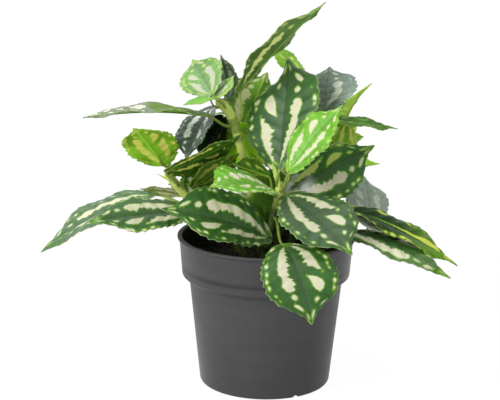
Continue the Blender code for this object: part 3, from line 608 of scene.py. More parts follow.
def pot_finish(looks):
    """Dark grey moulded plastic: satin, faint flow marks round the wall, pale scuffs at the foot,
    painted shade on the inner wall above the soil.
    """
    n = Nodes("pot_plastic")
    flow = n.noise(60.0, 4.0, 0.55, stretch=(0.35, 0.35, 2.2))
    grain = n.noise(2600.0, 2.0, 0.5)
    cloud = n.noise(22.0, 3.0, 0.6)
    base = n.tones(flow, 0.3, 0.7, looks.color, 1.0, 1.12)
    base = n.coat(base, rgba(looks.color, 0.86), cloud, 0.35, 0.7, 0.0, 0.5)
    separate = n.add("ShaderNodeSeparateXYZ")
    n.link(n.place(), separate.inputs[0])
    low = n.ramp(separate.outputs["Z"], *SCUFF_HEIGHTS)
    scuff = n.ramp(n.noise(120.0, 5.0, 0.65, stretch=(1.0, 1.0, 0.45)), 0.56, 0.72)
    base = n.mix(n.math("MULTIPLY", n.math("MULTIPLY", low, scuff), 0.35), base, rgba(looks.color, 2.4))
    dust = n.ramp(n.noise(900.0, 2.0, 0.6), 0.66, 0.8, 0.0, 0.22)
    base = n.mix(dust, base, rgba(looks.color, 1.5))
    reach = n.add("ShaderNodeVectorMath", operation="LENGTH")
    flat = n.add("ShaderNodeCombineXYZ")
    n.link(separate.outputs["X"], flat.inputs["X"])
    n.link(separate.outputs["Y"], flat.inputs["Y"])
    n.link(flat.outputs[0], reach.inputs[0])
    # painted shade: the inner wall above the soil is darker
    inside = n.math("MULTIPLY", n.ramp(reach.outputs["Value"], *SHADE_INSIDE_REACH),
                    n.ramp(separate.outputs["Z"], *SHADE_INSIDE_HEIGHTS))
    base = n.mix(inside, base, rgba(looks.color, 0.30))
    rough = n.ramp(cloud, 0.3, 0.7, looks.roughness - 0.05, looks.roughness + 0.07)
    normal = n.bump(grain, 0.00005, 0.35)
    normal = n.bump(flow, 0.0004, 0.25, normal)
    return n.finish(base, rough, normal, 0.2)


def soil_finish(looks):
    """Damp peat: nearly black crumbs with a few brown and olive ones."""
    n = Nodes("potting_soil")
    crumbs = n.noise(700.0, 5.0, 0.7)
    patches = n.noise(160.0, 3.0, 0.6)
    colour = n.tones(crumbs, 0.4, 0.66, looks.color, 1.0, 2.4)
    colour = n.coat(colour, rgba(looks.fleck), patches, 0.58, 0.72, 0.0, 0.7)
    normal = n.bump(crumbs, 0.0012, 0.9)
    return n.finish(colour, n.ramp(crumbs, 0.3, 0.7, 0.8, 0.97), normal, 0.3)


def bark_finish(looks):
    """Bits of bark and root in the soil, each with its own tone."""
    n = Nodes("bark_bits")
    tone = n.value("tone")
    grain = n.noise(1200.0, 4.0, 0.65, stretch=(1.0, 1.0, 0.4))
    dark = n.coat(rgba(looks.color, 1.4), rgba(looks.fleck, 0.8), grain, 0.3, 0.7)
    light = n.tones(grain, 0.3, 0.7, looks.fleck, 1.0, 2.2)
    colour = n.coat(dark, light, tone, 0.55, 0.95)
    return n.finish(colour, n.ramp(grain, 0.3, 0.7, 0.75, 0.95), n.bump(grain, 0.0006, 0.8), 0.3)


# ---- pot ---------------------------------------------------------------------------------------
# Sizes in millimetres. Three stretches of cone make the outer wall: from the foot to the step, from
# the step to the collar's bottom, and the collar. The recess is the hollow under the floor.
POT_HEIGHT = 85.0
COLLAR_BOTTOM = 62.6
STEP_HEIGHT = 59.4
FOOT_RADIUS = 36.9
STEP_RADIUS = 43.0
COLLAR_TOP_RADIUS = 48.8
COLLAR_BOTTOM_RADIUS = 47.2
WALL = 1.5
FLOOR = 2.0
RECESS = 1.2
RIM_BOTTOM = 83.4

# Drain holes in the floor and notches in the foot's edge, and how far out from the axis they are.
DRAIN_HOLES = 6
DRAIN_RADIUS = 3.0
DRAIN_REACH = 24.0
NOTCHES = 3
NOTCH_RADIUS = 1.85
NOTCH_REACH = 35.45
NOTCH_HEIGHT = -0.35
FIRST_NOTCH = math.radians(-62.0)


def inner_radius(height):
    """Radius of the pot's inner wall at a height: the outer cone less the wall."""
    heights = [0.0, STEP_HEIGHT, COLLAR_BOTTOM, POT_HEIGHT]
    radii = [FOOT_RADIUS, STEP_RADIUS, COLLAR_BOTTOM_RADIUS, COLLAR_TOP_RADIUS]
    return float(np.interp(height, heights, radii)) - WALL


def rounded(corners, steps=5):
    """A profile in metres from corners (radius, height, rounding) in millimetres.

    Each corner is swapped for the arc (1-t)^2*start + 2*t*(1-t)*corner + t^2*end.
    """
    rows = []
    count = len(corners)
    for index, (r, z, rounding) in enumerate(corners):
        here = np.array([r, z])
        if rounding <= 0 or index in (0, count - 1):
            rows.append(here[None, :])
            continue
        before = np.array(corners[index - 1][:2]) - here
        after = np.array(corners[index + 1][:2]) - here
        reach_a = min(rounding, 0.48 * np.linalg.norm(before))
        reach_b = min(rounding, 0.48 * np.linalg.norm(after))
        start = here + reach_a * before / np.linalg.norm(before)
        end = here + reach_b * after / np.linalg.norm(after)
        t = np.linspace(0, 1, steps)[:, None]
        rows.append((1 - t) ** 2 * start + 2 * t * (1 - t) * here + t ** 2 * end)
    return np.vstack(rows) * MM


def turned_mesh(name, profile, steps):
    """Turns a profile that starts and ends on the axis: (r cos a, r sin a, z)."""
    angle = np.arange(steps) * math.tau / steps
    ring = np.stack([np.cos(angle), np.sin(angle)], axis=-1)
    body = profile[1:-1]
    points = np.concatenate([body[:, None, :1] * ring[None], np.repeat(body[:, None, 1:], steps, 1)],
                            axis=-1).reshape(-1, 3)
    count = len(points)
    poles = np.array([[0, 0, profile[0, 1]], [0, 0, profile[-1, 1]]])
    fans = np.vstack([fan(count, np.arange(steps), flip=True),
                      fan(count + 1, np.arange(count - steps, count))])
    return make_mesh(name, np.vstack([points, poles]), grid_quads(len(body), steps, wrap=True), fans)


def peg(name, radius, length, reach, angle, height, lying=False):
    """A rod for cutting a hole, upright or lying outwards, set in place through its mesh."""
    half = 0.5 * length * MM
    radius = radius * MM
    profile = np.array([[0, -half], [radius, -half], [radius, half], [0, half]])
    mesh = turned_mesh(name, profile, 48)
    reach = reach * MM
    place = Vector((reach * math.cos(angle), reach * math.sin(angle), height * MM))
    turn = Matrix.Rotation(angle, 4, "Z") @ Matrix.Rotation(0.5 * math.pi, 4, "Y")
    mesh.transform(Matrix.Translation(place) @ (turn if lying else Matrix.Identity(4)))
    face_outwards(mesh)
    return add_object(name, mesh)


def cut_holes(mesh, tools):
    """The mesh less the tools, by exact booleans; the tools are removed afterwards."""
    item = add_object("blank", mesh)
    for tool in tools:
        hole = item.modifiers.new(tool.name, "BOOLEAN")
        hole.object = tool
        hole.solver = "EXACT"
        hole.operation = "DIFFERENCE"
    bpy.context.view_layer.update()
    depsgraph = bpy.context.evaluated_depsgraph_get()
    result = bpy.data.meshes.new_from_object(item.evaluated_get(depsgraph))
    for thing in [item, *tools]:
        old = thing.data
        bpy.data.objects.remove(thing, do_unlink=True)
        bpy.data.meshes.remove(old)
    return result


def pot_corners():
    """The pot's section as (radius, height, rounding), from the floor's middle round to below it."""
    top = RECESS + FLOOR
    return [
        (0.0, top, 0), (inner_radius(top), top, 1.0),
        (inner_radius(STEP_HEIGHT), STEP_HEIGHT, 1.2),
        (inner_radius(COLLAR_BOTTOM), COLLAR_BOTTOM, 1.2),
        (inner_radius(RIM_BOTTOM), RIM_BOTTOM, 0.8), (47.5, 84.75, 0.5), (48.4, POT_HEIGHT, 0.3),
        (49.65, POT_HEIGHT, 0.45), (50.0, 84.6, 0.35), (50.0, 83.75, 0.35), (49.6, RIM_BOTTOM, 0.3),
        (COLLAR_TOP_RADIUS, 83.3, 0.25), (COLLAR_BOTTOM_RADIUS, 63.1, 0.7), (46.7, 62.5, 0.5),
        (43.3, 59.9, 0.5), (42.95, STEP_HEIGHT, 0.5), (42.85, 57.5, 0.6), (FOOT_RADIUS, 1.0, 0.9),
        (36.1, 0.0, 0.5), (34.0, 0.0, 0.35), (33.8, RECESS, 0.35), (12.2, RECESS, 0.35),
        (12.0, 0.0, 0.35), (0.0, 0.0, 0),
    ]


def make_pot(settings):
    """The pot: its section turned, less the drain holes and the notches in the foot's edge."""
    blank = turned_mesh("pot_wall", rounded(pot_corners()), settings.steps)
    face_outwards(blank)
    tools = []
    for index in range(DRAIN_HOLES):
        angle = math.tau * index / DRAIN_HOLES
        tools.append(peg("drain_%d" % index, DRAIN_RADIUS, 12, DRAIN_REACH, angle, 0.0))
    for index in range(NOTCHES):
        angle = FIRST_NOTCH + math.tau * index / NOTCHES
        tools.append(peg("notch_%d" % index, NOTCH_RADIUS, 5, NOTCH_REACH, angle, NOTCH_HEIGHT,
                         lying=True))
    mesh = cut_holes(blank, tools)
    mesh.name = "pot_wall"
    mesh.polygons.foreach_set("use_smooth", np.ones(len(mesh.polygons), bool))
    mesh.set_sharp_from_angle(angle=math.radians(40))
    add_piece("pot_wall", mesh, "pot", pot_finish(settings))


# ---- soil --------------------------------------------------------------------------------------
# Sizes in millimetres. The soil keeps a small gap to the pot's wall.
SOIL_EDGE = 71.2
SOIL_RISE = 1.4
SOIL_BOTTOM = 3.5
SOIL_GAP = 0.42
SOIL_RADIUS = inner_radius(71.0) - SOIL_GAP
SOIL_SIDES = (66.0, COLLAR_BOTTOM, STEP_HEIGHT, 40.0, 20.0, SOIL_BOTTOM)
SOIL_STEPS = 200

# Waves of the crumbs: seed of the random draws, radians for each metre, share of the height.
CRUMBS = [(3, 420, 0.5), (4, 1100, 0.45), (6, 2300, 0.25)]

# The lump that every bark bit is made from: rings, points round a ring, sizes and how high it lies.
BIT_SEED = 11
BIT_RINGS = 5
BIT_SIDES = 8
BIT_SIZE = (2.6, 1.3, 0.8)
BIT_LIFT = 0.3


def ripple(x, y, seed, scale, count=24):
    """A bumpy field: the mean of count sine waves of random headings, lengths and phases."""
    random = np.random.default_rng(seed)
    angle = random.uniform(0, math.tau, count)
    wave = scale * random.uniform(0.6, 1.8, count)
    phase = random.uniform(0, math.tau, count)
    flat = (x[..., None] * np.cos(angle) + y[..., None] * np.sin(angle)) * wave + phase
    return np.sin(flat).mean(axis=-1) * math.sqrt(count) * 0.5


def soil_height(share):
    """Height of the soil without its crumbs: edge + rise*(1-share^2) at a share of the radius."""
    return SOIL_EDGE * MM + SOIL_RISE * MM * (1 - share ** 2)


def make_soil(settings):
    """Bumpy top z = edge + rise*(1-(r/R)^2) + crumbs, closed by the wall's cone and a flat bottom."""
    gap = SOIL_GAP * MM
    angle = np.arange(SOIL_STEPS) * math.tau / SOIL_STEPS
    shares = np.linspace(0.02, 1, 60)[:, None]
    radius = shares * (SOIL_RADIUS * MM) * np.ones(SOIL_STEPS)
    x, y = radius * np.cos(angle), radius * np.sin(angle)
    crumbs = sum(ripple(x, y, seed, scale) * part for seed, scale, part in CRUMBS)
    fade = 1 - 0.6 * smooth_step(shares, 0.9, 1.0)
    z = soil_height(shares) + crumbs * settings.crumb * fade
    rows = [np.stack([x, y, z], axis=-1)]
    for height in SOIL_SIDES:
        lift = gap if height >= STEP_HEIGHT else 0.0
        reach = inner_radius(height) * MM - gap
        rows.append(np.stack([reach * np.cos(angle), reach * np.sin(angle),
                              np.full(SOIL_STEPS, height * MM + lift)], axis=-1)[None])
    grid = np.concatenate(rows)
    count = grid.shape[0] * SOIL_STEPS
    poles = np.array([[0, 0, z[0].mean()], [0, 0, SOIL_BOTTOM * MM]])
    fans = np.vstack([fan(count, np.arange(SOIL_STEPS)),
                      fan(count + 1, np.arange(count - SOIL_STEPS, count), flip=True)])
    quads = grid_quads(grid.shape[0], SOIL_STEPS, wrap=True, flip=True)
    mesh = make_mesh("soil_top", np.vstack([grid.reshape(-1, 3), poles]), quads, fans)
    add_piece("soil_top", mesh, "soil", soil_finish(settings))


def lump():
    """Points and faces of a ball with few sides, around the origin and of radius one."""
    polar = np.linspace(0, math.pi, BIT_RINGS + 2)[1:-1][:, None]
    turn = (np.arange(BIT_SIDES) * math.tau / BIT_SIDES)[None, :]
    ball = np.stack([np.sin(polar) * np.cos(turn), np.sin(polar) * np.sin(turn),
                     np.cos(polar) * np.ones_like(turn)], axis=-1).reshape(-1, 3)
    count = len(ball)
    caps = np.vstack([fan(count, np.arange(BIT_SIDES)),
                      fan(count + 1, np.arange(count - BIT_SIDES, count), flip=True)])
    quads = grid_quads(BIT_RINGS, BIT_SIDES, wrap=True, flip=True)
    return np.vstack([ball, [[0, 0, 1], [0, 0, -1]]]), quads, caps


def make_bits(settings):
    """Bark and peat bits: one many-sided lump, stretched, turned and set down many times."""
    random = np.random.default_rng(BIT_SEED)
    count = settings.bits
    ball, quads, caps = lump()
    size = random.uniform(0.5, 1.0, (count, 1)) * np.array([BIT_SIZE]) * MM
    size *= random.uniform(0.6, 1.35, (count, 3))
    lumps = ball[None] * size[:, None, :] * random.uniform(0.72, 1.2, (count, len(ball), 1))
    heading = random.uniform(0, math.tau, count)[:, None]
    tilt = random.uniform(-0.5, 0.5, count)[:, None]
    x = lumps[..., 0] * np.cos(tilt) + lumps[..., 2] * np.sin(tilt)
    z = -lumps[..., 0] * np.sin(tilt) + lumps[..., 2] * np.cos(tilt)
    y = lumps[..., 1]
    share = np.sqrt(random.uniform(0.0, 0.88, count))[:, None]
    around = random.uniform(0, math.tau, count)[:, None]
    reach = SOIL_RADIUS * MM * share
    points = np.stack([x * np.cos(heading) - y * np.sin(heading) + reach * np.cos(around),
                       x * np.sin(heading) + y * np.cos(heading) + reach * np.sin(around),
                       z + (soil_height(share) + BIT_LIFT * MM)], axis=-1)
    shift = np.arange(count)[:, None, None] * len(ball)
    tone = np.repeat(random.uniform(0, 1, count), len(ball))
    mesh = make_mesh("soil_bits", points.reshape(-1, 3), (quads[None] + shift).reshape(-1, 4),
                     (caps[None] + shift).reshape(-1, 3), {"tone": tone})
    face_outwards(mesh)
    add_piece("soil_bits", mesh, None, bark_finish(settings))


# ---- stems -------------------------------------------------------------------------------------
# Rings and sides of a stem's rod, and how much the ridges lift its skin as a share of the radius.
STEM_RINGS = 90
STEM_SIDES = 28
STEM_RIDGES = 0.035

# Swelling where a petiole grows, as a share of the radius, and its reach as a share of the length.
NODE_SWELLING = 0.16
NODE_REACH = 0.018

# The height that the finish reads is 0 at STEM_LOW and 1 at STEM_SPAN above it, in millimetres.
STEM_LOW = 58
STEM_SPAN = 60

# Bracts: rows and columns, teeth, roll, droop, and half the thickness in millimetres.
BRACT_GRID = (40, 7)
BRACT_TEETH = 7
BRACT_ROLL = math.radians(70)
BRACT_DROOP = math.radians(18)
BRACT_SKIN = 0.22


def stem_route(name):
    """A stem's smooth curve and its radii at the foot and at the top."""
    foot, top, points = STEMS[name]
    return smooth_route(points, 16), foot * MM, top * MM


def make_stem(name, finish):
    """A rod along the stem's curve, swollen by a bell curve where each petiole grows."""
    route, foot, top = stem_route(name)
    shares = np.linspace(0, 1, STEM_RINGS)
    path, _ = along(route, shares)
    grows = np.array([row[2] for row in LEAVES if row[1] == name])
    swelling = np.exp(-((shares[:, None] - grows) / NODE_REACH) ** 2).max(axis=1)
    radii = foot + (top - foot) * shares
    radii *= 1 + NODE_SWELLING * swelling
    radii *= 1 - 0.55 * smooth_step(shares, 0.985, 1.0)
    points, quads, ends = tube(path, radii, STEM_SIDES, (1.0, 0.0, 0.0), ridges=STEM_RIDGES)
    shade = swelling * (1 - smooth_step(shares, 0.85, 0.90)) * NODE_SHADES.get(name, PLAIN_NODE_SHADE)
    values = {"height": np.repeat((path[:, 2] - STEM_LOW * MM) / (STEM_SPAN * MM), STEM_SIDES),
              "node": np.repeat(shade, STEM_SIDES)}
    mesh = make_mesh(name + "_rod", points, quads, ends, values)
    add_piece(name + "_rod", mesh, name, finish)


def make_bracts(finish):
    """Narrow bracts: thin closed strips with teeth, hollowed a little along the middle.

    Their half width is 0.5*width*(teeth*sin(pi*u^0.8) + 0.12*(1-u) + 0.03).
    """
    rows, columns = BRACT_GRID
    u = np.linspace(0.0, 1.0, rows)
    v = np.linspace(-1, 1, columns)
    teeth = 1 - 0.34 * np.mod(u * BRACT_TEETH, 1.0)
    outline = np.sin(math.pi * u ** 0.8) * teeth + 0.12 * (1 - u) + 0.03
    points, quads = [], []
    for index, (x, y, z, heading, rise, length, width) in enumerate(BRACTS):
        base = np.array([x, y, z]) * MM
        middle, sides, ups = blade_rows(base, math.radians(heading), math.radians(rise),
                                        BRACT_ROLL, length * MM, BRACT_DROOP, u)
        half = 0.5 * width * MM * outline
        flat = middle[:, None, :] + (half[:, None] * v)[..., None] * sides[:, None, :]
        flat = flat + (0.25 * half[:, None] * v ** 2)[..., None] * ups[:, None, :]
        skin = BRACT_SKIN * MM * ups[:, None, :]
        sheet, faces = closed_sheet(flat + skin, flat - skin, index * 2 * rows * columns)
        points.append(sheet)
        quads.append(faces)
    points = np.vstack(points)
    values = {"height": np.full(len(points), 1.0), "node": np.zeros(len(points))}
    mesh = make_mesh("stem_bracts", points, np.vstack(quads), (), values)
    face_outwards(mesh)
    add_piece("stem_bracts", mesh, None, finish)


# ---- leaves ------------------------------------------------------------------------------------
# Outline: how fast the width falls to the tip, and the part of it that is taken off there.
TIP_POWER = 0.80
TIP_TAPER = 0.62

# Teeth: share of a tooth before its point, and how far the right side is out of step.
TOOTH_PEAK = 0.84
TOOTH_SHIFT = 0.45

# Relief in millimetres on a leaf of RELIEF_LENGTH; the groove is as large on every leaf.
RELIEF_LENGTH = 60
SWELL = 0.55
PUCKER = 0.28
CURL = 0.9
SWAY = 0.35
GROOVE_DEPTH = 0.32
GROOVE_WIDTH = 0.55

# Share of the half width over which the fold is rounded, and how far lobes reach back of a length.
FOLD_ROUND = 0.03
LOBE_REACH = 0.055

# Leaves of this width, in millimetres, or wider have full teeth and a full petiole.
FULL_WIDTH = 30

# Petiole, in millimetres: radii inside the stem, at its start and at its end, and how deep the end
# is sunk under the blade. Midrib: radii at shares of the length, the width from which it is full,
# and how deep it runs.
PETIOLE_FOOT = 0.9
PETIOLE_RADII = (0.95, 0.68)
PETIOLE_SINK = 0.45
RIB_SHARES = [0, 0.3, 0.86]
RIB_RADII = [0.62, 0.42, 0.16]
RIB_WIDTH = 26
RIB_SINK = 0.30

# Length of the curve's handles, as a share of the way from the stem to the blade.
PETIOLE_HANDLE = 0.35

# Rings of the petiole and of the midrib that it goes on as, the rings over which the petiole's
# colour fades there, and the sides of both.
PETIOLE_RINGS = 18
FADE_RINGS = 4.0
RIB_RINGS = 22
PETIOLE_SIDES = 10

# Longer leaves than this, in millimetres, get a finer grid of rows and columns and more teeth.
LARGE_LEAF = 34
LARGE_GRID = (112, 41)
SMALL_GRID = (76, 29)
FEWER_TEETH = 3

# How many veins lie between two teeth, and how far they lean to the tip by the margin.
VEINS_PER_TOOTH = 0.62
VEIN_SLANT = 0.16

# What the finish reads on a petiole of the values that it reads on a blade.
PETIOLE_VALUES = {"patch": -9.0, "midrib": 0.0, "fresh": 0.0}
OTHER_PETIOLE_VALUES = 9.0


def half_width(share, width, full):
    """Half width of a blade: round at the base, widest near the middle, drawn out at the tip.

    0.5*width * share^full * (1-share)^TIP_POWER over its greatest value, tapered by the tip.
    """
    share = np.clip(share, 0, 1)
    peak = full / (full + TIP_POWER)
    scale = peak ** full * (1 - peak) ** TIP_POWER
    body = share ** full * (1 - share) ** TIP_POWER / scale
    taper = 1 - TIP_TAPER * smooth_step(share, 0.70, 0.96)
    low = 0.75 * MM + (0.3 - 0.75) * MM * share
    return np.maximum(0.5 * width * body * taper, low)


def turn_about(vectors, axis, angle):
    """Rodrigues' rotation of row vectors about a unit axis."""
    cos, sin = math.cos(angle), math.sin(angle)
    return vectors * cos + np.cross(axis, vectors) * sin + np.outer(vectors @ axis, axis) * (1 - cos)


def blade_rows(base, heading, rise, roll, length, droop, shares):
    """Midrib points, side and up directions of a blade that bends down as a circular arc."""
    forward = np.array([math.cos(heading), math.sin(heading), 0.0])
    side = np.array([math.sin(heading), -math.cos(heading), 0.0])
    start = rise + 0.5 * droop
    slope = start - droop * shares
    radius = length / droop
    out = radius * (math.sin(start) - np.sin(slope))
    up = radius * (np.cos(slope) - math.cos(start))
    points = np.outer(out, forward) + np.outer(up, [0, 0, 1])
    normals = np.outer(-np.sin(slope), forward) + np.outer(np.cos(slope), [0, 0, 1])
    sides = np.tile(side, (len(shares), 1))
    chord = math.cos(rise) * forward + math.sin(rise) * np.array([0, 0, 1])
    turned = [turn_about(rows, chord, roll) for rows in (points, sides, normals)]
    return turned[0] + base, turned[1], turned[2]


def patch_depth(share, across, reach, length, patches, jag, random):
    """How far a point lies inside the nearest patch, in millimetres, below zero outside.

    For each patch: the least of the ways to its inner edge, outer edge and two ends. Both edges
    follow the table, and a saw-tooth runs along the inner one.
    """
    best = np.full(share.shape, FAR_OUTSIDE)
    for index, rows in enumerate(patches):
        table = np.array(rows)
        table[:, 0] += random.uniform(-0.006, 0.006)
        table[:, 1:] += random.uniform(-0.012, 0.012)
        inner = np.interp(share, table[:, 0], table[:, 1])
        outer = np.interp(share, table[:, 0], table[:, 2])
        if index == 0:
            run = share * 17 + random.uniform(0, 1)
            size = 1 + 0.55 * np.sin(2.4 * np.floor(run) + random.uniform(0, 6))
            inner = inner + jag * size * (0.5 - np.mod(run, 1.0))
            outer = outer + 0.25 * jag * (0.5 - np.mod(share * 15, 1.0))
        ends = np.minimum(share - table[0, 0], table[-1, 0] - share) * length
        inside = np.minimum(np.minimum(across - inner, outer - across) * reach, ends)
        best = np.maximum(best, inside)
    return best


def margin_dots(share, across, reach, length, random):
    """How far a point lies inside the row of dots along the margin, in millimetres."""
    best = np.full(share.shape, FAR_OUTSIDE)
    for index in range(MARGIN_DOTS):
        place = 0.07 + 0.078 * index + random.uniform(-0.022, 0.022)
        out = 0.84 + random.uniform(-0.06, 0.05)
        radius = random.uniform(0.15, 1.45) * length / 60
        away = np.hypot((share - place) * length * 0.8, (across - out) * reach)
        best = np.maximum(best, radius - away)
    return best


def leaf_print(share, v, half, length, banded, spread, random):
    """The print's depth field over the whole blade; negative v is the left half."""
    across = np.abs(v) / spread
    reach = half / MM
    span = length / MM
    if banded:
        halves = [(BAND_PATCHES, 0.0), (BAND_PATCHES[3:], 0.0)]
    else:
        halves = [(LEFT_PATCHES, LEFT_JAG), (RIGHT_PATCHES, RIGHT_JAG)]
    patches = [patch_depth(share, across, reach, span, tables, jag, random) for tables, jag in halves]
    dots = [margin_dots(share, across, reach, span, random) for _ in halves]
    left, right = np.maximum(patches, dots)
    return np.where(v < 0, left, right)


def bezier(share, first, second, third, last):
    """Points of a cubic Bezier curve at shares of its run."""
    rest = 1 - share
    return (rest ** 3 * first + 3 * rest ** 2 * share * second + 3 * rest * share ** 2 * third
            + share ** 3 * last)


class Leaf:
    """One leaf's sizes, and the grid that its blade is worked out on.

    run goes from 0 at the base to 1 at the tip, across from -1 at the left margin to 1 at the right
    one. out is |across|, half is the half width, and veins counts the veins passed since the base.
    """

    def __init__(self, index, row, settings):
        self.name, self.stem, self.share = row[:3]
        self.base = np.array(row[3:6], float) * MM
        self.heading, self.rise, self.roll = np.radians(row[6:9])
        self.length, self.width = np.array(row[9:11], float) * MM
        self.droop, self.fold = np.radians(row[11:13])
        self.settings = settings
        self.random = np.random.default_rng(100 + index)
        self.size = self.length / (RELIEF_LENGTH * MM)
        self.skin = 0.5 * settings.thickness
        large = self.length > LARGE_LEAF * MM
        self.teeth = settings.teeth if large else settings.teeth - FEWER_TEETH
        rows, columns = LARGE_GRID if large else SMALL_GRID
        run = np.linspace(0, 1, rows)
        run = run - 0.06 * np.sin(math.tau * run)
        across = np.linspace(-1, 1, columns)
        across = np.sign(across) * (1.22 * np.abs(across) - 0.22 * np.abs(across) ** 2.2)
        self.midrib, self.sides, self.ups = self.rows_at(run)
        self.run, self.across = np.meshgrid(run, across, indexing="ij")
        self.out = np.abs(self.across)
        full, skew = SHAPES.get(self.name, PLAIN_SHAPE)
        shift = skew * 4 * self.run * (1 - self.run) * np.sign(self.across)
        self.half = half_width(self.run - shift, self.width, full)
        self.veins = self.teeth * VEINS_PER_TOOTH * (self.run - VEIN_SLANT * self.out)

    def rows_at(self, shares):
        """Midrib points, side and up directions at shares of the blade's length."""
        return blade_rows(self.base, self.heading, self.rise, self.roll, self.length, self.droop,
                          shares)

    def notches(self):
        """Depth of the saw-tooth that leans to the tip; it fades quickly away from the margin."""
        run, across, out = self.run, self.across, self.out
        start = self.random.uniform(0, 1)
        phase = np.mod(run * self.teeth + np.where(across < 0, 0.0, TOOTH_SHIFT) + start, 1.0)
        rise = (phase / TOOTH_PEAK) ** 1.4
        point = np.where(phase < TOOTH_PEAK, rise, (1 - phase) / (1 - TOOTH_PEAK))
        ends = smooth_step(run, 0.03, 0.12) * (1 - smooth_step(run, 0.90, 0.99))
        depth = self.settings.tooth_depth * (1 - point) * ends * out ** 7
        depth = depth * min(1.0, self.width / (FULL_WIDTH * MM))
        change = math.tau * (run * 4.3 + self.random.uniform(0, 1)) + 2.0 * across
        return np.minimum(depth * (1 + 0.35 * np.sin(change)), 0.25 * self.half)

    def relief(self):
        """Lift off a flat blade: rounded fold, swell, puckers, waves, curled margin, groove."""
        run, across, out, half = self.run, self.across, self.out, self.half
        random, size = self.random, self.size
        lift = (np.sqrt(out ** 2 + FOLD_ROUND ** 2) - FOLD_ROUND) * half * math.tan(self.fold)
        swell = np.sin(math.pi * np.clip(out * 1.05, 0, 1)) ** 1.2 * SWELL * MM * size
        pucker = np.cos(math.tau * (self.veins + random.uniform(0, 1)))
        pucker = pucker * np.sin(math.pi * np.clip(out, 0, 1)) * PUCKER * MM * size
        left = np.sin(math.tau * (random.uniform(2.0, 2.8) * run + random.uniform(0, 1)))
        right = np.sin(math.tau * (random.uniform(2.0, 2.8) * run + random.uniform(0, 1)))
        wave = np.where(across < 0, left, right) * out ** 2.6 * self.settings.wave * size
        curl = -CURL * MM * size * out ** 3
        fade = smooth_step(run, 0.0, 0.12) * (1 - 0.75 * smooth_step(run, 0.82, 1.0))
        lift = lift + (swell + pucker + wave + curl) * fade
        groove = -GROOVE_DEPTH * MM * np.exp(-(out * half / (GROOVE_WIDTH * MM)) ** 2)
        return lift + groove * smooth_step(run, 0.0, 0.05) * (1 - smooth_step(run, 0.85, 0.98))

    def surface(self):
        """midrib + (across*half - notches)*side + relief*up, with lobes drawn back at the base."""
        run, across, out, half = self.run, self.across, self.out, self.half
        offset = across * half - np.sign(across) * self.notches()
        lift = self.relief()
        start = self.random.uniform(0, 1)
        sway = SWAY * MM * self.size * np.sin(math.tau * (1.1 * run + start)) * smooth_step(run, 0, 0.2)
        lobes = -LOBE_REACH * self.length * out ** 1.6 * (1 - smooth_step(run, 0.0, 0.22))
        heads = np.cross(self.ups, self.sides)
        lean = math.cos(self.fold)
        return (self.midrib[:, None, :] + (offset * lean + sway)[..., None] * self.sides[:, None, :]
                + (lift * lean)[..., None] * self.ups[:, None, :]
                + (lobes * self.settings.lobes)[..., None] * heads[:, None, :])

    def shell(self):
        """A closed sheet: two skins, half a thickness either way along the surface's normal."""
        surface = self.surface()
        normals = np.cross(np.gradient(surface, axis=1), np.gradient(surface, axis=0))
        normals /= np.linalg.norm(normals, axis=-1, keepdims=True)
        return closed_sheet(surface + normals * self.skin, surface - normals * self.skin)

    def petiole(self):
        """A rod on a Bezier curve from inside the stem, which goes on as a tapering midrib.

        With it comes one value a point, which is 1 on the petiole and falls to 0 on the midrib.
        """
        route, foot, top = stem_route(self.stem)
        roots, axes = along(route, [self.share])
        root, axis = roots[0], axes[0]
        away = self.base - root
        outward = away - (away @ axis) * axis
        outward /= np.linalg.norm(outward)
        radius = foot + (top - foot) * self.share
        start = root + outward * 0.4 * radius
        leave = root + outward * (radius + 0.4 * MM)
        lean = outward + 0.3 * axis
        lean /= np.linalg.norm(lean)
        arrive = self.base - self.ups[0] * PETIOLE_SINK * MM
        handle = PETIOLE_HANDLE * np.linalg.norm(self.base - leave)
        head = np.cross(self.ups[0], self.sides[0])
        curve = bezier(np.linspace(0, 1, PETIOLE_RINGS)[:, None], leave, leave + handle * lean,
                       arrive - handle * head, arrive)
        shares = np.linspace(0.03, RIB_SHARES[-1], RIB_RINGS)
        rib, _, rib_ups = self.rows_at(shares)
        taper = np.interp(shares, RIB_SHARES, RIB_RADII) * MM
        taper = taper * min(1.0, self.width / (RIB_WIDTH * MM))
        rib = rib - rib_ups * (self.skin + RIB_SINK * MM + 0.15 * taper[:, None])
        radii = np.concatenate([[PETIOLE_FOOT * MM], np.linspace(*PETIOLE_RADII, PETIOLE_RINGS) * MM,
                                taper])
        radii[:PETIOLE_RINGS + 1] *= np.clip(self.width / (FULL_WIDTH * MM), 0.62, 1.0)
        path = np.vstack([start[None], curve, rib])
        stalk = smooth_step(PETIOLE_RINGS + FADE_RINGS - np.arange(len(path)), 0.0, FADE_RINGS)
        return *tube(path, radii, PETIOLE_SIDES, self.sides[0]), np.repeat(stalk, PETIOLE_SIDES)

    def values(self):
        """What the finish reads at each point of the blade."""
        name, run, across, out, half = self.name, self.run, self.across, self.out, self.half
        plain = name in PLAIN_BASES
        patch = leaf_print(run, across, half, self.length, name in BANDED, SPREAD.get(name, 1.0),
                           self.random)
        patch = patch - THINNER.get(name, 0.0) - plain * 3 * smooth_step(0.55 - run, 0.0, 0.15)
        fresh = FRESH_TIPS.get(name, 0.0) * smooth_step(run + 0.15 * out, 0.40, 0.95)
        fresh = np.maximum(fresh, plain * smooth_step(0.50 - run, 0.0, 0.1) * PLAIN_BASE_LIME)
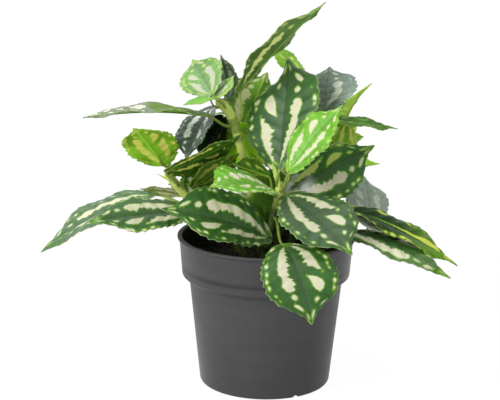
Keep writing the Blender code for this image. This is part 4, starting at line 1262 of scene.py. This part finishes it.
        # painted sheen: where the pale reflection lies near the base
        shine = smooth_step(0.34 - run, 0.0, 0.2) * smooth_step(0.9 - out, 0.0, 0.3) * (name in SHINY)
        step = np.mod(self.veins, 1.0)
        return {
            "patch": patch,
            "rim": np.minimum((1 - out) * half, (1 - run) * self.length * 0.7 + 0.1 * MM) / MM,
            "vein": np.minimum(step, 1 - step) * 2 * smooth_step(out, 0.0, 0.08),
            "midrib": out * half / MM,
            # painted sheen: the upper side turns grey, more towards the base and less towards the
            # margin
            "grey": np.clip(GREY_SHEEN.get(name, PLAIN_GREY_SHEEN) + 0.55 * (1 - run) - 0.30 * out, 0, 1),
            "backlit": smooth_step(-across, 0.0, 0.05) * (name in BACKLIT),
            "fresh": fresh,
            "shine": shine,
        }


def make_leaf(index, row, finish, settings):
    """One leaf: a thin closed shell with teeth, puckers and waves, and a round petiole under it."""
    leaf = Leaf(index, row, settings)
    points, quads = leaf.shell()
    rod_points, rod_quads, rod_ends, stalk = leaf.petiole()
    count, tail = len(points), len(rod_points)
    values = {}
    for key, field in leaf.values().items():
        rest = np.full(tail, PETIOLE_VALUES.get(key, OTHER_PETIOLE_VALUES))
        values[key] = np.concatenate([field.reshape(-1), field.reshape(-1), rest])
    values["top"] = np.concatenate([np.ones(count // 2), np.zeros(count // 2 + tail)])
    values["stalk"] = np.concatenate([np.zeros(count), stalk])
    mesh = make_mesh(leaf.name + "_blade", np.vstack([points, rod_points]),
                     np.vstack([quads, rod_quads + count]), [face + count for face in rod_ends], values)
    add_piece(leaf.name + "_blade", mesh, leaf.name, finish)


# ---- what a user can change --------------------------------------------------------------------
def color_property(name, description, default):
    """A colour that a user can change."""
    return bpy.props.FloatVectorProperty(name=name, description=description, subtype="COLOR", size=3,
                                         min=0.0, max=1.0, default=default)


def count_property(name, description, default, low, high):
    """A whole number that a user can change."""
    return bpy.props.IntProperty(name=name, description=description, default=default, min=low, max=high)


def length_property(name, description, default, high, low=0.0):
    """A length in metres that a user can change."""
    return bpy.props.FloatProperty(name=name, description=description, default=default, min=low,
                                   max=high, unit="LENGTH")


def share_property(name, description, default, low=0.0, high=1.0):
    """A share that a user can change."""
    return bpy.props.FloatProperty(name=name, description=description, default=default, min=low,
                                   max=high, subtype="FACTOR")


def power_property(name, description, default):
    """A lamp's power in watts that a user can change."""
    return bpy.props.FloatProperty(name=name, description=description, default=default, min=0.0,
                                   unit="POWER")


class PlantPotSettings(bpy.types.PropertyGroup):
    """Facets and finish of the pot"""
    steps: count_property("Steps", "Facets round the pot", 160, 48, 360)
    color: color_property("Plastic", "Colour of the pot", (0.067, 0.067, 0.0685))
    roughness: share_property("Roughness", "How matt the plastic is", 0.40, low=0.1)


class PlantSoilSettings(bpy.types.PropertyGroup):
    """Bumps, bits and colours of the soil"""
    crumb: length_property("Crumbs", "Height of the soil's bumps", 0.0007, 0.003)
    bits: count_property("Bits", "Number of bark bits", 240, 1, 2000)
    color: color_property("Soil", "Colour of the damp soil", (0.0055, 0.0045, 0.0035))
    fleck: color_property("Flecks", "Colour of the bark and root bits", (0.032, 0.024, 0.010))


class PlantStemSettings(bpy.types.PropertyGroup):
    """Colours of the stems"""
    # painted light: the upper stem's colour is lighter than the stem's own, so that it shows pale in
    # the leaves' shade
    stem_pale: color_property("Upper stem", "Colour of the young stem", (0.74, 0.87, 0.21))
    stem_dark: color_property("Lower stem", "Colour of the stem near the soil", (0.07, 0.11, 0.018))


class PlantLeafSettings(bpy.types.PropertyGroup):
    """Sizes and finish of the leaves"""
    thickness: length_property("Thickness", "Thickness of a blade", 0.00045, 0.002, low=0.0001)
    teeth: count_property("Teeth", "Teeth along a large leaf's margin", 13, 4, 30)
    tooth_depth: length_property("Tooth depth", "Depth of a tooth", 0.00135, 0.004)
    lobes: share_property("Lobes", "How far the base reaches back", 1.0, high=2.0)
    wave: length_property("Wave", "Height of the waves along a margin", 0.0010, 0.004)
    stalk: color_property("Petiole", "Colour of the petioles", (0.34, 0.46, 0.080))
    gloss: share_property("Gloss", "Strength of the leaves' reflection", 0.30)


class PlantStageSettings(bpy.types.PropertyGroup):
    """Light round the plant"""
    world: share_property("World", "Light from all round", 0.34, high=2.0)
    key: power_property("Key lamp", "Power of the lamp at the front left", 10.0)
    fill: power_property("Fill lamp", "Power of the lamp at the right", 0.5)
    top: power_property("Top lamp", "Power of the lamp above", 4.0)


SETTINGS = {
    "plant_pot": PlantPotSettings,
    "plant_soil": PlantSoilSettings,
    "plant_stems": PlantStemSettings,
    "plant_leaves": PlantLeafSettings,
    "plant_stage": PlantStageSettings,
}


# ---- stage -------------------------------------------------------------------------------------
# Lamps: name, place and size in metres, and the setting that holds the power. They aim at one point.
LAMPS = [
    ("key_lamp", (-0.75, -0.75, 0.75), 0.55, "key"),
    ("fill_lamp", (0.9, -0.45, 0.40), 0.5, "fill"),
    ("top_lamp", (0.05, 0.25, 1.05), 0.7, "top"),
]
LAMP_AIM = (0, 0, 0.11)

FLOOR_COLOR = (0.9, 0.9, 0.9, 1.0)
FLOOR_GLOW = 1.045

# The camera's aim and distance in metres, its turns in degrees and its lens in millimetres.
CAMERA_AIM = (-0.0094, 0, 0.1047)
CAMERA_DISTANCE = 0.894
CAMERA_DOWN = 14.3
CAMERA_ROLL = 0.65
CAMERA_LENS = 115.2


def area_light(name, place, size, power):
    """A square soft lamp at a place, turned to the lamps' aim."""
    data = bpy.data.lights.new(name, "AREA")
    data.shape = "SQUARE"
    data.size = size
    data.energy = power
    lamp = add_object(name, data)
    lamp.location = place
    lamp.rotation_euler = (Vector(LAMP_AIM) - Vector(place)).to_track_quat("-Z", "Y").to_euler()


def background_rays(nodes, links):
    """1 for camera, glossy and transmission rays, 0 for the rest."""
    path = nodes.new("ShaderNodeLightPath")
    share = path.outputs["Is Camera Ray"]
    for ray in ("Is Glossy Ray", "Is Transmission Ray"):
        greater = nodes.new("ShaderNodeMath")
        greater.operation = "MAXIMUM"
        links.new(share, greater.inputs[0])
        links.new(path.outputs[ray], greater.inputs[1])
        share = greater.outputs[0]
    return share


# ---- operators ---------------------------------------------------------------------------------
class PLANT_OT_pot(bpy.types.Operator):
    """Build the nursery pot"""
    bl_idname = "plant.pot"
    bl_label = "Build pot"

    def execute(self, context):
        make_pot(context.scene.plant_pot)
        return {"FINISHED"}


class PLANT_OT_soil(bpy.types.Operator):
    """Build the soil and the bits on it"""
    bl_idname = "plant.soil"
    bl_label = "Build soil"

    def execute(self, context):
        make_soil(context.scene.plant_soil)
        make_bits(context.scene.plant_soil)
        return {"FINISHED"}


class PLANT_OT_stems(bpy.types.Operator):
    """Build the moulded stems"""
    bl_idname = "plant.stems"
    bl_label = "Build stems"

    def execute(self, context):
        finish = stem_finish(context.scene.plant_stems)
        for name in STEMS:
            make_stem(name, finish)
        make_bracts(finish)
        return {"FINISHED"}


class PLANT_OT_leaves(bpy.types.Operator):
    """Build the printed leaves with their petioles"""
    bl_idname = "plant.leaves"
    bl_label = "Build leaves"

    def execute(self, context):
        looks = context.scene.plant_leaves
        finishes = {kind: leaf_finish(kind, looks) for kind in PALETTES}
        kinds = {name: kind for kind, names in FINISHES.items() for name in names}
        for index, row in enumerate(LEAVES):
            make_leaf(index, row, finishes[kinds.get(row[0], "mature")], looks)
        return {"FINISHED"}


class PLANT_OT_stage(bpy.types.Operator):
    """Set up the floor, the light and the camera"""
    bl_idname = "plant.stage"
    bl_label = "Set up stage"

    def execute(self, context):
        settings = context.scene.plant_stage
        self.add_floor()
        self.add_light(context, settings)
        self.add_camera(context)
        return {"FINISHED"}

    def add_floor(self):
        """A white floor under the pot; it glows for the camera, so that it shows as plain white."""
        corners = np.array([[-3, -3, 0], [3, -3, 0], [3, 3, 0], [-3, 3, 0]], float)
        mesh = make_mesh("floor", corners, np.array([[0, 1, 2, 3]]))
        floor = add_object("floor", mesh)
        n = Nodes("floor_white")
        n.put(n.shader, {"Base Color": FLOOR_COLOR, "Roughness": 0.9, "Specular IOR Level": 0.0})
        glow = n.add("ShaderNodeEmission")
        n.put(glow, {"Strength": FLOOR_GLOW})
        away = n.add("ShaderNodeVectorMath", operation="LENGTH")
        n.link(n.place(), away.inputs[0])
        share = n.ramp(away.outputs["Value"], 0.10, 0.50, 0.92, 1.0)
        share = n.math("MULTIPLY", background_rays(n.tree.nodes, n.tree.links), share)
        mixer = n.add("ShaderNodeMixShader")
        n.link(share, mixer.inputs[0])
        n.link(n.shader.outputs[0], mixer.inputs[1])
        n.link(glow.outputs[0], mixer.inputs[2])
        n.link(mixer.outputs[0], n.tree.nodes["Material Output"].inputs["Surface"])
        mesh.materials.append(n.material)

    def add_light(self, context, settings):
        """White light from all round, brighter behind what the camera sees, and three lamps."""
        world = bpy.data.worlds.new("studio")
        world.use_nodes = True
        nodes, links = world.node_tree.nodes, world.node_tree.links
        background = nodes["Background"]
        background.inputs["Color"].default_value = (1, 1, 1, 1)
        level = nodes.new("ShaderNodeMapRange")
        level.inputs["To Min"].default_value = settings.world
        level.inputs["To Max"].default_value = 1.0
        links.new(background_rays(nodes, links), level.inputs["Value"])
        links.new(level.outputs["Result"], background.inputs["Strength"])
        context.scene.world = world
        for name, place, size, power in LAMPS:
            area_light(name, place, size, getattr(settings, power))

    def add_camera(self, context):
        """Looks down on the plant from the front, a little rolled, through a long lens."""
        down, roll = math.radians(CAMERA_DOWN), math.radians(CAMERA_ROLL)
        back = Vector((0, -math.cos(down), math.sin(down)))
        right = Vector((1, 0, 0))
        up = back.cross(right)
        across = right * math.cos(roll) + up * math.sin(roll)
        upward = up * math.cos(roll) - right * math.sin(roll)
        data = bpy.data.cameras.new("camera")
        data.sensor_width = 36
        data.lens = CAMERA_LENS
        data.clip_start = 0.05
        camera = add_object("camera", data)
        turn = Matrix((across, upward, back)).transposed().to_4x4()
        place = Vector(CAMERA_AIM) + back * CAMERA_DISTANCE
        camera.matrix_world = Matrix.Translation(place) @ turn
        context.scene.camera = camera
        context.scene.view_settings.view_transform = "Standard"


OPERATORS = [PLANT_OT_pot, PLANT_OT_soil, PLANT_OT_stems, PLANT_OT_leaves, PLANT_OT_stage]


class PLANT_PT_panel(bpy.types.Panel):
    """Steps and settings of the plant"""
    bl_idname = "PLANT_PT_panel"
    bl_label = "Potted plant"
    bl_space_type = "VIEW_3D"
    bl_region_type = "UI"
    bl_category = "Plant"

    def draw(self, context):
        for label, group in SETTINGS.items():
            box = self.layout.box()
            box.label(text=label.replace("_", " "))
            for key in group.__annotations__:
                box.prop(getattr(context.scene, label), key)
        for operator in OPERATORS:
            self.layout.operator(operator.bl_idname)


def register():
    """Registers the classes and gives every scene its settings."""
    for group in SETTINGS.values():
        bpy.utils.register_class(group)
    for item in [*OPERATORS, PLANT_PT_panel]:
        bpy.utils.register_class(item)
    for label, group in SETTINGS.items():
        setattr(bpy.types.Scene, label, bpy.props.PointerProperty(type=group))


def unregister():
    """Takes away the settings and the classes."""
    for label in SETTINGS:
        delattr(bpy.types.Scene, label)
    for item in [PLANT_PT_panel, *reversed(OPERATORS)]:
        bpy.utils.unregister_class(item)
    for group in reversed(SETTINGS.values()):
        bpy.utils.unregister_class(group)


def main():
    """Builds the plant and its stage."""
    register()
    bpy.ops.plant.pot()
    bpy.ops.plant.soil()
    bpy.ops.plant.stems()
    bpy.ops.plant.leaves()
    bpy.ops.plant.stage()
    bpy.context.view_layer.update()


if __name__ == "__main__":
    main()
